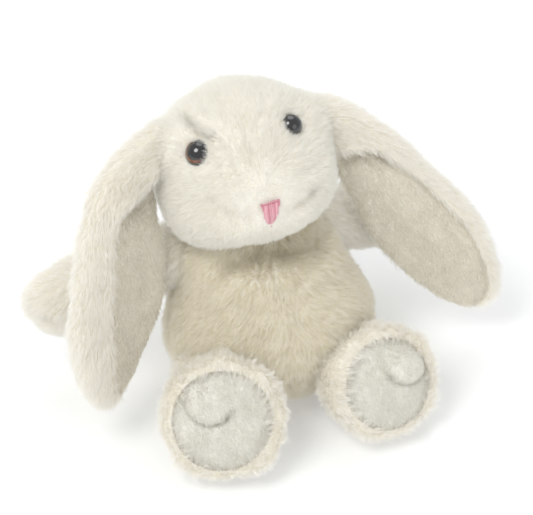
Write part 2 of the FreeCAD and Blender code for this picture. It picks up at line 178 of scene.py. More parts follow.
def gauss(p, at, radius):
    return np.exp(-((np.linalg.norm(p - np.asarray(at, float), axis=1) / radius) ** 2))

def seg_dist(p, pts):
    """Distance from each point to a polyline, and how far along it (0..1)."""
    pts = [np.asarray(q, float) for q in pts]
    best = np.full(len(p), 1e9); along = np.zeros(len(p))
    tot = sum(np.linalg.norm(b - a) for a, b in zip(pts, pts[1:])); run = 0.0
    for a, b in zip(pts, pts[1:]):
        ab = b - a; L = np.linalg.norm(ab)
        t = np.clip(((p - a) @ ab) / (L * L), 0, 1)
        d = np.linalg.norm(p - (a + t[:, None] * ab), axis=1)
        m = d < best
        best = np.where(m, d, best); along = np.where(m, (run + t * L) / tot, along)
        run += L
    return best, along

def tufts(co, nrm, comb, seed, amp, cell=1.5, run=2.6):
    """Relief of the pile itself: short ridges that lie along the way the pile is combed."""
    c = comb - nrm * (comb * nrm).sum(1, keepdims=True)
    c = unit(c + 1e-6)
    h = 0.0
    for t in np.linspace(-run, run, 6):
        h = h + value_noise(co + c * t, seed, cell)
    return amp * np.clip(h / 2.2, -1.3, 1.3)

def make_mesh(name, co, faces, mats, face_mat=None, smooth=True):
    me = bpy.data.meshes.new(name)
    me.from_pydata((np.asarray(co) * MM).tolist(), [], faces)
    for m in mats:
        me.materials.append(m)
    if face_mat is not None:
        me.polygons.foreach_set("material_index", np.asarray(face_mat, dtype=np.int32))
    me.polygons.foreach_set("use_smooth", np.full(len(me.polygons), smooth))
    me.validate(); me.update()
    ob = bpy.data.objects.new(name, me)
    bpy.context.scene.collection.objects.link(ob)
    return ob

# ------------------------------------------------------------------ materials
def new_mat(name):
    m = bpy.data.materials.new(name); m.use_nodes = True
    nt = m.node_tree
    for n in list(nt.nodes):
        nt.nodes.remove(n)
    return m, nt

def node(nt, kind, **kw):
    n = nt.nodes.new(kind)
    for k, v in kw.items():
        if k in n.inputs:
            n.inputs[k].default_value = v
        else:
            setattr(n, k, v)
    return n

def ramp(nt, fac, stops):
    r = nt.nodes.new("ShaderNodeValToRGB")
    els = r.color_ramp.elements
    els[0].position, els[0].color = stops[0][0], (*stops[0][1], 1)
    els[1].position, els[1].color = stops[-1][0], (*stops[-1][1], 1)
    for p, c in stops[1:-1]:
        e = els.new(p); e.color = (*c, 1)
    nt.links.new(fac, r.inputs[0])
    return r.outputs[0]

def cloth_mat(name, dark, light, scale=900.0, bump=0.35, rough=0.95, sheen=0.25, stretch=(1, 1, 1), sss=0.12):
    """Napped cloth ground: mottled colour, fine fibre grain in colour, roughness and bump."""
    m, nt = new_mat(name)
    tc = node(nt, "ShaderNodeTexCoord")
    mp = node(nt, "ShaderNodeMapping"); mp.inputs["Scale"].default_value = stretch
    nt.links.new(tc.outputs["Object"], mp.inputs["Vector"])
    big = node(nt, "ShaderNodeTexNoise", Scale=95.0, Detail=4.0, Roughness=0.6)
    fine = node(nt, "ShaderNodeTexNoise", Scale=scale, Detail=5.0, Roughness=0.7)
    vor = node(nt, "ShaderNodeTexVoronoi", Scale=scale * 1.1)
    for n in (big, fine, vor):
        nt.links.new(mp.outputs[0], n.inputs["Vector"])
    mix = node(nt, "ShaderNodeMath", operation="MULTIPLY_ADD"); mix.inputs[1].default_value = 0.55
    nt.links.new(fine.outputs["Fac"], mix.inputs[0])
    half = node(nt, "ShaderNodeMath", operation="MULTIPLY"); half.inputs[1].default_value = 0.45
    nt.links.new(big.outputs["Fac"], half.inputs[0]); nt.links.new(half.outputs[0], mix.inputs[2])
    col = ramp(nt, mix.outputs[0], [(0.30, dark), (0.62, light)])
    ht = node(nt, "ShaderNodeMath", operation="SUBTRACT")
    nt.links.new(fine.outputs["Fac"], ht.inputs[0])
    vs = node(nt, "ShaderNodeMath", operation="MULTIPLY"); vs.inputs[1].default_value = 0.5
    nt.links.new(vor.outputs["Distance"], vs.inputs[0]); nt.links.new(vs.outputs[0], ht.inputs[1])
    bp = node(nt, "ShaderNodeBump", Strength=bump, Distance=0.0006)
    nt.links.new(ht.outputs[0], bp.inputs["Height"])
    bs = node(nt, "ShaderNodeBsdfPrincipled")
    nt.links.new(col, bs.inputs["Base Color"])
    rr = node(nt, "ShaderNodeMapRange"); rr.inputs["To Min"].default_value = rough - 0.12; rr.inputs["To Max"].default_value = 1.0
    nt.links.new(fine.outputs["Fac"], rr.inputs["Value"]); nt.links.new(rr.outputs[0], bs.inputs["Roughness"])
    bs.inputs["Specular IOR Level"].default_value = 0.15
    bs.inputs["Sheen Weight"].default_value = sheen
    bs.inputs["Sheen Roughness"].default_value = 0.5
    bs.inputs["Subsurface Weight"].default_value = sss
    bs.inputs["Subsurface Radius"].default_value = (1.0, 0.85, 0.6)
    bs.inputs["Subsurface Scale"].default_value = 0.002
    nt.links.new(bp.outputs[0], bs.inputs["Normal"])
    out = node(nt, "ShaderNodeOutputMaterial")
    nt.links.new(bs.outputs[0], out.inputs["Surface"])
    return m

def fibre_mat(name, root, tip, vary=0.06, trans=0.42, painted_glow=0.05, painted_shade=None):
    """Pile fibres: colour runs from a darker, warmer root, painted shade deep in the pile, to the fibre's own pale tip,
    and differs from fibre to fibre.
    """
    m, nt = new_mat(name)
    hi = node(nt, "ShaderNodeHairInfo")
    col = ramp(nt, hi.outputs["Intercept"], [(0.0, root), (0.45, tuple((a + b) / 2 for a, b in zip(root, tip))), (1.0, tip)])
    hsv = node(nt, "ShaderNodeHueSaturation")
    mr = node(nt, "ShaderNodeMapRange"); mr.inputs["To Min"].default_value = 1 - vary; mr.inputs["To Max"].default_value = 1 + vary * 0.6
    nt.links.new(hi.outputs["Random"], mr.inputs["Value"]); val = mr.outputs[0]
    if painted_shade is not None:        # (middle in mm, reach in mm, how dark in the middle): painted shadow, the pile darker towards the middle
        gp = node(nt, "ShaderNodeNewGeometry")
        sb = node(nt, "ShaderNodeVectorMath", operation="SUBTRACT"); sb.inputs[1].default_value = tuple(c * MM for c in painted_shade[0])
        nt.links.new(gp.outputs["Position"], sb.inputs[0])
        sc = node(nt, "ShaderNodeVectorMath", operation="MULTIPLY"); sc.inputs[1].default_value = (0.45, 0.6, 1.0)
        nt.links.new(sb.outputs[0], sc.inputs[0])
        dl = node(nt, "ShaderNodeVectorMath", operation="LENGTH"); nt.links.new(sc.outputs[0], dl.inputs[0])
        sm = node(nt, "ShaderNodeMapRange"); sm.inputs["From Max"].default_value = painted_shade[1] * MM; sm.inputs["To Min"].default_value = painted_shade[2]
        nt.links.new(dl.outputs["Value"], sm.inputs["Value"])
        mu = node(nt, "ShaderNodeMath", operation="MULTIPLY"); nt.links.new(val, mu.inputs[0]); nt.links.new(sm.outputs[0], mu.inputs[1])
        val = mu.outputs[0]
        # the painted shadow is also made warmer: saturation rises towards the middle
        st = node(nt, "ShaderNodeMapRange"); st.inputs["From Max"].default_value = painted_shade[1] * MM; st.inputs["To Min"].default_value = 1.9; st.inputs["To Max"].default_value = 1.0
        nt.links.new(dl.outputs["Value"], st.inputs["Value"]); nt.links.new(st.outputs[0], hsv.inputs["Saturation"])
    nt.links.new(val, hsv.inputs["Value"])
    nt.links.new(col, hsv.inputs["Color"])
    bs = node(nt, "ShaderNodeBsdfPrincipled", Roughness=0.62)
    bs.inputs["Specular IOR Level"].default_value = 0.25
    bs.inputs["Sheen Weight"].default_value = 0.2
    nt.links.new(hsv.outputs[0], bs.inputs["Base Color"])
    nt.links.new(hsv.outputs[0], bs.inputs["Emission Color"]); bs.inputs["Emission Strength"].default_value = painted_glow   # painted glow: emission stands in for light passed from fibre to fibre
    tr = node(nt, "ShaderNodeBsdfTranslucent"); nt.links.new(hsv.outputs[0], tr.inputs["Color"])
    ms = node(nt, "ShaderNodeMixShader"); ms.inputs[0].default_value = trans
    nt.links.new(bs.outputs[0], ms.inputs[1]); nt.links.new(tr.outputs[0], ms.inputs[2])
    out = node(nt, "ShaderNodeOutputMaterial"); nt.links.new(ms.outputs[0], out.inputs["Surface"])
    return m

PLUSH = cloth_mat("plush_ground", (0.78, 0.72, 0.59), (0.94, 0.915, 0.84), scale=700, bump=0.6)
HEADP = cloth_mat("head_plush_ground", (0.82, 0.77, 0.66), (0.95, 0.93, 0.87), scale=800, bump=0.5)
LINING = cloth_mat("ear_lining_velour", (0.78, 0.735, 0.63), (0.94, 0.915, 0.84), scale=1100, bump=0.55, stretch=(1, 1, 0.45))
SOLE = cloth_mat("sole_velour", (0.83, 0.82, 0.76), (0.95, 0.942, 0.895), scale=1100, bump=0.5)
SEAMC = cloth_mat("seam_thread", (0.55, 0.50, 0.40), (0.78, 0.74, 0.64), scale=2200, bump=0.8, sheen=0.1)
# every pile material below carries a small painted glow (emission strength) and painted shade at its roots
FUR = fibre_mat("plush_fibre", (0.93, 0.90, 0.825), (0.995, 0.99, 0.97), painted_glow=0.06)
# torso pile: darker, warmer colours than the other pile as painted shade, and a painted shadow under the chin
FURT = fibre_mat("torso_plush_fibre", (0.89, 0.835, 0.685), (0.985, 0.965, 0.905), painted_glow=0.02, painted_shade=((4.0, -16.0, 76.0), 15.0, 0.70))
FURH = fibre_mat("head_plush_fibre", (0.93, 0.905, 0.835), (0.98, 0.977, 0.948), painted_glow=0.04)
FURL = fibre_mat("lining_nap_fibre", (0.87, 0.825, 0.72), (0.98, 0.96, 0.91), vary=0.16, painted_glow=0.03)
FURS = fibre_mat("sole_nap_fibre", (0.86, 0.85, 0.785), (0.98, 0.972, 0.93), vary=0.14, painted_glow=0.03)

# ------------------------------------------------------------------ fibres
def fibres(name, body, ob, density, length, lean, mat, radius=0.055, k=5, clump=2.0, clump_pull=0.6, mess=0.35,
           keep=None, seed=1, len_scale=None, curl=0.0, width_scale=None):
    """Stand fibres on a skin. density per mm2, length in mm; lean(p, n) gives a comb vector per root."""
    me = ob.data
    me.calc_loop_triangles()
    nv = len(me.vertices)
    co = np.empty(nv * 3, np.float32); me.vertices.foreach_get("co", co); co = co.reshape(-1, 3) * 1000.0
    nt_ = len(me.loop_triangles)
    tri = np.empty(nt_ * 3, np.int32); me.loop_triangles.foreach_get("vertices", tri); tri = tri.reshape(-1, 3)
    pol = np.empty(nt_, np.int32); me.loop_triangles.foreach_get("polygon_index", pol)
    mi = np.empty(len(me.polygons), np.int32); me.polygons.foreach_get("material_index", mi)
    vn = np.empty(nv * 3, np.float32); me.vertices.foreach_get("normal", vn); vn = vn.reshape(-1, 3)
    a, b, c = co[tri[:, 0]], co[tri[:, 1]], co[tri[:, 2]]
    area = np.linalg.norm(np.cross(b - a, c - a), axis=1) / 2
    if isinstance(mat, tuple):
        slot_i, mat = mat
        area = np.where(mi[pol] == slot_i, area, 0.0)
    g = np.random.default_rng(seed)
    n = int(area.sum() * density * DENS)
    t = g.choice(nt_, size=n, p=area / area.sum())
    u, v = g.random(n), g.random(n)
    flip = u + v > 1; u[flip] = 1 - u[flip]; v[flip] = 1 - v[flip]
    w = 1 - u - v
    p = a[t] * w[:, None] + b[t] * u[:, None] + c[t] * v[:, None]
    nn = unit(vn[tri[t, 0]] * w[:, None] + vn[tri[t, 1]] * u[:, None] + vn[tri[t, 2]] * v[:, None])
    if keep is not None:
        m = keep(p, nn); p, nn = p[m], nn[m]
    n = len(p)
    if n == 0:
        return None
    L = length * (0.72 + 0.4 * g.random(n))
    if len_scale is not None:
        L = L * len_scale(p, nn)
    comb = lean(p, nn)
    comb = comb - nn * (comb * nn).sum(1, keepdims=True)
    jit = g.normal(size=(n, 3)) * mess
    flow = np.stack([fbm(p, seed + 31, 5.5), fbm(p, seed + 57, 5.5), fbm(p, seed + 91, 5.5)], 1) * mess * 1.6
    d = unit(nn * 1.0 + comb + jit * 0.45 + flow)
    # tufts: each fibre's tip is pulled to the tip of its tuft's leading fibre
    cell = clump
    off = g.random(3) * cell
    key = np.floor((p + off + np.stack([value_noise(p, seed + 5, 1.7), value_noise(p, seed + 6, 1.7), value_noise(p, seed + 7, 1.7)], 1) * cell * 0.6) / cell).astype(np.int64)
    h = ((key[:, 0] + 4096) * 8192 + (key[:, 1] + 4096)) * 8192 + (key[:, 2] + 4096)
    uq, inv = np.unique(h, return_inverse=True)
    cnt = np.bincount(inv)
    cen = np.stack([np.bincount(inv, p[:, i]) / cnt for i in range(3)], 1)
    dm = np.stack([np.bincount(inv, d[:, i]) / cnt for i in range(3)], 1)
    tuft_j = g.normal(size=(len(uq), 3)) * mess * 0.55
    dm = unit(dm + tuft_j)
    tuft_len = 0.82 + 0.36 * g.random(len(uq))
    L = L * tuft_len[inv]
    tipc = cen[inv] + dm[inv] * L[:, None]
    s = np.linspace(0, 1, k)
    pts = np.empty((n, k, 3), np.float32)
    bend = unit(comb + flow + 1e-6) * 0.28
    for i, si in enumerate(s):
        q = p + d * (L * si)[:, None] + bend * (L * si * si)[:, None]
        q = q + (tipc - (p + d * L[:, None])) * (clump_pull * si ** 1.5)
        if curl:
            ph = g.random(n) * 0 + inv * 1.7
            side = unit(np.cross(d, nn) + 1e-6)
            q = q + side * (np.sin(ph + si * 5.0) * curl * si)[:, None]
        pts[:, i] = q
    cu = bpy.data.hair_curves.new(name)
    cu.add_curves([k] * n)
    cu.attributes["position"].data.foreach_set("vector", (pts * MM).reshape(-1).astype(np.float32))
    ra = cu.attributes.new("radius", "FLOAT", "POINT")
    prof = np.interp(s, [0, 0.5, 1.0], [1.0, 0.85, 0.22])
    rad = radius * (0.8 + 0.4 * g.random(n))
    if width_scale is not None:
        rad = rad * width_scale(p, nn)
    ra.data.foreach_set("value", (rad[:, None] * prof[None, :] * MM).reshape(-1).astype(np.float32))
    cu.materials.append(mat)
    o = bpy.data.objects.new(name, cu)
    bpy.context.scene.collection.objects.link(o)
    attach(o, body)
    return o

# ------------------------------------------------------------------ camera (mm)
VIEW_B = A(-0.2783, -0.7137, 0.6428)
VIEW_R = A(0.9317, -0.3633, 0.0)
VIEW_U = A(0.2335, 0.5989, 0.7660)
TARGET = A(2.64, -2.60, 60.49)
DIST = 650.0

# ------------------------------------------------------------------ shapes as fields
# the bean-filled seat sags a little to the left of the middle, as it sits
TORSO_P = [(A(3.8, -3.2, 29.5), A(41.6, 35.6, 32.0), None), (A(1.4, 3.5, 58), A(30.5, 27.0, 26.0), None)]
def torso_f(p):
    return field(p, TORSO_P, 5.0)

HEAD_P = [(A(-0.9, 0, 0), A(33.2, 31.5, 30.5), None), (A(0, -15.5, -9.5), A(22.5, 20.0, 17.5), None),
          (A(13.5, -9.5, -10.5), A(16.7, 17.5, 15.5), None), (A(-15.8, -9.5, -10.5), A(17.6, 17.5, 15.5), None)]
# the head swells a little towards each ear root, so that the ear grows out of it
for _s in ("left", "right"):
    HEAD_P.append(((A(*EAR_LINE[_s][1][:3]) * A(0.93, 1, 1) - A(0, 0, 1.5) - HEAD_C) @ HEAD_M, A(8.6, 9.0, 8.4), None))
def head_f(p):
    return field((p - HEAD_C) @ HEAD_M, HEAD_P, 3.2)

PAD_R = {"left": 18.0, "right": 19.1}
FOOT_H = {"left": 0.92, "right": 0.98}
def leg_prims(side):
    hip, sole, n = HIP[side], SOLE_C[side], sole_n(side)
    heart = sole - n * 8.5
    d = heart - hip; L = np.linalg.norm(d); z = d / L
    x = unit(np.cross(z, A(0, 0, 1))); y = np.cross(z, x)
    R = np.stack([x, y, z], 1)
    xs = unit(np.cross(n, A(0, 0, 1))); ys = np.cross(n, xs)
    Rs = np.stack([xs, ys, n], 1)
    return heart, n, Rs, [(hip, A(14.5, 14.5, 14.5), None), (hip + d * 0.5, A(15.0, 15.0, L * 0.62), R), (heart, A(20.7, 20.7 * FOOT_H[side], 15.0), Rs),
                          (sole - n * 5.0, A(21.2, 21.2 * FOOT_H[side], 7.6), Rs)]
LEG = {s: leg_prims(s) for s in SIGN}
def leg_f(side):
    return lambda p: field(p, LEG[side][3], 3.0)

def cap_f(a, b, ra, rb):
    ab = b - a; L2 = ab @ ab
    def f(p):
        t = np.clip(((p - a) @ ab) / L2, 0, 1)
        return np.linalg.norm(p - (a + t[:, None] * ab), axis=1) - (ra + (rb - ra) * t)
    return f
ARM_F = {s: cap_f(SHOULDER[s], SHOULDER[s] + ARM_D[s] * 52.0, 11.0, 14.0) for s in SIGN}

def outside(*fs, depth=-3.0):
    def k(p, n):
        m = np.ones(len(p), bool)
        for f in fs:
            m &= f(p) > depth
        return m
    return k

# ------------------------------------------------------------------ torso
N_T = 100
co, fc = star(A(0, -1.0, 36.0), TORSO_P, 5.0, N_T)
nrm = vertex_normals(co, fc)
front = np.clip(-nrm[:, 1], 0, 1)
# centre seam down the belly, deeper where the legs pull it in; side seams; back seam
seam = np.exp(-(co[:, 0] / 1.5) ** 2) * front * (0.05 + 2.9 * np.clip((34 - co[:, 2]) / 26, 0, 1))
pull = np.exp(-(co[:, 0] / 7.0) ** 2) * np.clip((30 - co[:, 2]) / 26, 0, 1) * front * 2.2
back = np.exp(-(co[:, 0] / 1.4) ** 2) * np.clip(nrm[:, 1], 0, 1) * 0.9
side_s = np.exp(-((co[:, 1] - 6.0) / 1.4) ** 2) * np.clip(np.abs(nrm[:, 0]) * 1.4 - 0.3, 0, 1) * 0.9
# soft cross folds under the chin and over the belly, and an uneven filling
q = co * A(0.45, 0.6, 1.35)
folds = fbm(q, 11, 9.0, 2) * 1.15 + fbm(co, 12, 20.0, 2) * 1.3
chest = seg_dist(co, [(-18, -14, 71.5), (-11, -16, 74.0), (-4, -17.5, 75.5), (5, -18.5, 75.5), (14, -18, 73.5), (22, -15, 71)])[0]
chest2 = seg_dist(co, [(6, -26, 63), (16, -23, 66), (25, -15, 67)])[0]
belly_f = seg_dist(co, [(-31, -16, 42.0), (-21, -25, 45.5), (-10, -31, 46.5)])[0]
neckring = np.exp(-((co[:, 2] - 71) / 4.0) ** 2) * 1.6
disp = folds - seam - pull - back - side_s - 4.4 * np.exp(-(chest / 7.0) ** 2) - 1.1 * np.exp(-(chest2 / 2.4) ** 2) - neckring
disp = disp - 0.9 * np.exp(-(belly_f / 2.2) ** 2)
def comb_torso(p, n):
    x = np.tanh((p[:, 0] - 2.0) / 16.0)
    return np.stack([x * 0.80, np.full(len(p), -0.10), np.full(len(p), -0.62)], 1) * 0.95
disp = disp + tufts(co, nrm, comb_torso(co, nrm), 22, 0.34)
co = co + nrm * disp[:, None]
lowz = co[:, 2]
co[:, 2] = np.where(lowz < 3.0, 0.35 + np.log1p(np.exp((lowz - 0.9) / 0.8)) * 0.8, lowz)
co[:, 2] = np.maximum(co[:, 2], 0.3)
torso = make_mesh("torso_cover", co, fc, [PLUSH])
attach(torso, "torso")
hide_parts("torso_front_left", "torso_front_right", "torso_back_left", "torso_back_right", "seat_panel",
            "torso_stuffing", "bean_pouch", "bean_pellets", "closing_stitches")
def keep_torso(p, n):
    m = outside(head_f, leg_f("left"), leg_f("right"), ARM_F["left"], ARM_F["right"])(p, n)
    return m & (p[:, 2] > 1.2)
fibres("torso_pile", "torso", torso, 6.2, 3.4, comb_torso, FURT, keep=keep_torso, seed=21, radius=0.042, clump=1.3, clump_pull=0.28, mess=0.24)

# ------------------------------------------------------------------ head
def head_w(p):
    return HEAD_C + np.asarray(p, float) @ HEAD_M.T
def head_l(p):
    return (np.asarray(p, float) - HEAD_C) @ HEAD_M
def on_head(p):
    """Snap a world point to the head's skin, along the line from its middle."""
    d = unit(head_l(np.asarray(p, float)))[None]
    lo, hi = 0.0, 80.0
    for _ in range(24):
        m = (lo + hi) / 2
        if field(d * m, HEAD_P, 3.2)[0] < 0: lo = m
        else: hi = m
    return (d * lo)[0]
EYE_L = {s: side_pt((20.0, -21.2, 13.6), s) for s in SIGN}
EYE_N = {s: unit(EYE_L[s] / A(34.0, 31.5, 31.0) ** 2) for s in SIGN}
NOSE = on_head(head_w((0.5, -35.5, -13.4)))
nose_w = head_w(NOSE)
def from_nose(dx, dy):
    """A place on the face given as steps across and up from the nose, in the view plane."""
    return on_head(nose_w + VIEW_R * dx + VIEW_U * dy - VIEW_B * (abs(dx) * 0.35 + abs(dy) * 0.2))
N_H = 100
loc, fc = star(A(0, 0, 0), HEAD_P, 3.2, N_H)
nl = vertex_normals(loc, fc)
d = fbm(loc, 41, 17.0, 2) * 0.7 + fbm(loc, 42, 7.0, 2) * 0.25
for s in SIGN:
    d = d - 2.5 * gauss(loc, EYE_L[s] - EYE_N[s] * 1.0, 7.0) + 0.9 * gauss(loc, EYE_L[s] + A(0, 0, 8.5), 6.5)
def crease(pts, depth, width, fade=True):
    dd, al = seg_dist(loc, pts)
    f = np.sin(np.clip(al, 0.001, 0.999) * math.pi) ** 0.6 if fade else 1.0
    return depth * np.exp(-(dd / width) ** 2) * f
eyeR_w, eyeL_w = head_w(EYE_L["right"]), head_w(EYE_L["left"])
brow = [on_head(eyeR_w + VIEW_R * 6.5 + VIEW_U * 5.6), on_head(eyeR_w + VIEW_R * 1.0 + VIEW_U * 8.6), on_head(eyeR_w - VIEW_R * 4.0 + VIEW_U * 12.6), on_head(eyeR_w - VIEW_R * 8.6 + VIEW_U * 17.0)]
d = d - crease(brow, 5.2, 1.9, False)
d = d + 3.0 * np.exp(-(seg_dist(loc, [b + A(2.2, -1.0, 4.2) for b in brow])[0] / 3.8) ** 2)
# the stitched corners of the mouth, and the soft lines that run up from them
mouth_r = [from_nose(4.0, -1.0), from_nose(11.0, 2.5), from_nose(19.0, 8.0)]
mouth_l = [from_nose(-5.0, -2.0), from_nose(-13.0, 1.5), from_nose(-21.0, 12.0)]
d = d - crease(mouth_r, 2.1, 2.6) - crease(mouth_l, 2.1, 3.4)
d = d - 1.8 * gauss(loc, from_nose(18.0, 8.0), 3.2) - 0.5 * gauss(loc, from_nose(-20.0, 11.0), 5.0)
d = d + 1.6 * gauss(loc, from_nose(13.0, -5.0), 7.0) + 1.6 * gauss(loc, from_nose(-13.0, -6.0), 7.5)
# gusset seams from the nose over the eyes to the back
for sx in (-1, 1):
    g = np.exp(-((loc[:, 0] - sx * (7.5 + 4.0 * np.clip(loc[:, 2] / 25, 0, 1))) / 1.3) ** 2) * np.clip(loc[:, 2] / 14 + 0.4, 0, 1)
    d = d - 0.5 * g
d = d - 0.7 * gauss(loc, NOSE + A(0, 0, 7.0), 5.0)
def comb_head(p, n):
    l = head_l(p)
    v = l - A(0, -33.0, -3.0)             # away from the bridge of the nose
    v = unit(v)
    v[:, 0] *= np.tanh(np.abs(l[:, 0]) / 9.0)          # no parting down the middle
    v = v * 0.9 + A(0, 0.3, -0.25)
    for sd in ("left", "right"):
        to = EYE_L[sd] - l
        e = np.linalg.norm(to, axis=1)
        inner = -l[:, 0] * SIGN[sd] + EYE_L["left"][0]
        lean_in = np.exp(-((e - 5.0) / 2.2) ** 2) * np.clip(0.4 + inner / 6.0, 0, 1)
        v = v + unit(to) * (lean_in * (0.9 if sd == "right" else 1.5))[:, None]
    return (v @ HEAD_M.T) * 0.85
rootw = HEAD_C + loc @ HEAD_M.T; nw = nl @ HEAD_M.T
near_nose = np.clip(np.linalg.norm(loc - NOSE, axis=1) / 14.0, 0.25, 1)
d = d + tufts(rootw, nw, comb_head(rootw, nw), 52, 0.26) * near_nose
loc = loc + nl * d[:, None]
co = HEAD_C + loc @ HEAD_M.T
head = make_mesh("head_cover", co, fc, [HEADP])
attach(head, "head")
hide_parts("head_side_left", "head_side_right", "head_gusset", "chin_panel", "head_stuffing")
bvh_head = BVHTree.FromPolygons([Vector(v) for v in co], fc)

def near_eye(p):
    l = head_l(p)
    return np.minimum(np.linalg.norm(l - EYE_L["left"], axis=1), np.linalg.norm(l - EYE_L["right"], axis=1))
def nose_uv(p):
    l = head_l(p) - NOSE
    return l[:, 0], l[:, 2]
def nose_half(v):
    """Half width of the nose at height v (mm, down is negative)."""
    return np.interp(v, [-6.0, -5.6, -4.6, -2.6, 0.0, 2.6, 4.2, 4.8], [0.0, 0.95, 1.6, 2.6, 3.2, 3.5, 3.5, 0.0])
def keep_head(p, n):
    u, v = nose_uv(p)
    u = u + 1.3 * np.clip((4.3 - v) / 10.0, 0, 1)
    on_nose = (np.abs(u) < nose_half(v) + 0.35) & (head_l(p)[:, 1] < -24) & (v > -6.2) & (v < 5.0)
    l = head_l(p)
    cover = np.where(l[:, 0] > 0, np.clip(0.3 + (EYE_L["left"][0] - l[:, 0]) / 4.0, 0, 1), 0)       # the left eye is half under its pile
    return outside(torso_f, depth=-6.0)(p, n) & (near_eye(p) > 4.2 - 1.3 * cover) & ~on_nose
def len_head(p, n):
    e = near_eye(p)
    u, v = nose_uv(p)
    dn = np.sqrt(u * u + v * v)
    face = np.clip((head_l(p)[:, 1] + 36) / 30, 0, 1)
    l = head_l(p)
    inner = np.where(l[:, 0] > 0, EYE_L["left"][0] - l[:, 0], l[:, 0] - EYE_L["right"][0])     # towards the nose
    above = l[:, 2] - EYE_L["left"][2]
    fringe = np.clip(0.5 + inner / 7.0 + 0.25 * np.clip(above / 5.0, -1, 1), 0, 1)               # the pile on that side falls over the eye
    fringe = np.where(l[:, 0] > 0, np.clip(fringe * 1.1 + 0.35 + 0.3 * np.clip(above / 4.0, -1, 1), 0, 1), fringe)
    at_eye = np.interp(e, [4.5, 7.0, 12.0], [0.34, 0.60, 1.0]) * (1 - fringe) + np.interp(e, [4.5, 7.0, 12.0], [1.1, 1.0, 1.0]) * fringe
    return at_eye * np.interp(dn, [4, 10, 22], [0.38, 0.62, 1.0]) * (0.72 + 0.28 * face)
fibres("head_pile", "head", head, 7.2, 3.2, comb_head, FURH, keep=keep_head, seed=51, radius=0.041, clump=1.25, clump_pull=0.26,
       mess=0.20, len_scale=len_head)

# ------------------------------------------------------------------ eyes
def eye_material(name, base, axis, painted_glow, start):
    m, nt = new_mat(name)
    tc = node(nt, "ShaderNodeTexCoord")
    sub = node(nt, "ShaderNodeVectorMath", operation="SUBTRACT"); sub.inputs[1].default_value = tuple((base + VIEW_R * 0.95 + VIEW_U * 0.45) * MM)
    nt.links.new(tc.outputs["Object"], sub.inputs[0])
    cr = node(nt, "ShaderNodeVectorMath", operation="CROSS_PRODUCT"); cr.inputs[1].default_value = tuple(axis)
    nt.links.new(sub.outputs[0], cr.inputs[0])
    ln = node(nt, "ShaderNodeVectorMath", operation="LENGTH"); nt.links.new(cr.outputs[0], ln.inputs[0])
    mr = node(nt, "ShaderNodeMapRange"); mr.inputs["From Max"].default_value = 5.3 * MM
    nt.links.new(ln.outputs["Value"], mr.inputs["Value"])
    ns = node(nt, "ShaderNodeTexNoise", Scale=1400.0, Detail=3.0); nt.links.new(tc.outputs["Object"], ns.inputs["Vector"])
    ad = node(nt, "ShaderNodeMath", operation="MULTIPLY_ADD"); ad.inputs[1].default_value = 0.03
    nt.links.new(ns.outputs["Fac"], ad.inputs[0]); nt.links.new(mr.outputs[0], ad.inputs[2])
    black = ramp(nt, ad.outputs[0], [(0.0, (0.003, 0.003, 0.004)), (1.0, (0.005, 0.004, 0.004))])
    ring = ramp(nt, ad.outputs[0], [(0.0, (0.003, 0.003, 0.004)), (0.62, (0.004, 0.004, 0.004)), (0.67, (0.035, 0.010, 0.004)),
                                    (0.72, (0.16, 0.040, 0.012)), (0.83, (0.22, 0.062, 0.018)), (0.875, (0.06, 0.016, 0.006)), (0.92, (0.004, 0.003, 0.003)), (1.0, (0.004, 0.004, 0.004))])
    # the amber iris ring is the eye's own colour, but it is shown only towards the glow direction, as a painted glow of
    # light through the dome; elsewhere the eye stays black
    dt = node(nt, "ShaderNodeVectorMath", operation="DOT_PRODUCT"); dt.inputs[1].default_value = tuple(painted_glow)
    nt.links.new(sub.outputs[0], dt.inputs[0])
    gm = node(nt, "ShaderNodeMapRange"); gm.inputs["From Min"].default_value = start * MM; gm.inputs["From Max"].default_value = (start + 3.0) * MM
    nt.links.new(dt.outputs["Value"], gm.inputs["Value"])
    mixc = node(nt, "ShaderNodeMix"); mixc.data_type = "RGBA"
    nt.links.new(gm.outputs[0], mixc.inputs[0]); nt.links.new(black, mixc.inputs[6]); nt.links.new(ring, mixc.inputs[7])
    col = mixc.outputs[2]
    bs = node(nt, "ShaderNodeBsdfPrincipled", Roughness=0.16)
    nt.links.new(col, bs.inputs["Base Color"])
    rr = node(nt, "ShaderNodeMapRange"); rr.inputs["To Min"].default_value = 0.10; rr.inputs["To Max"].default_value = 0.2
    nt.links.new(ns.outputs["Fac"], rr.inputs["Value"]); nt.links.new(rr.outputs[0], bs.inputs["Roughness"])
    bs.inputs["Coat Weight"].default_value = 1.0; bs.inputs["Coat Roughness"].default_value = 0.02
    bs.inputs["Specular IOR Level"].default_value = 0.6
    bp = node(nt, "ShaderNodeBump", Strength=0.02, Distance=0.0001); nt.links.new(ns.outputs["Fac"], bp.inputs["Height"])
    nt.links.new(bp.outputs[0], bs.inputs["Normal"])
    out = node(nt, "ShaderNodeOutputMaterial"); nt.links.new(bs.outputs[0], out.inputs["Surface"])
    return m

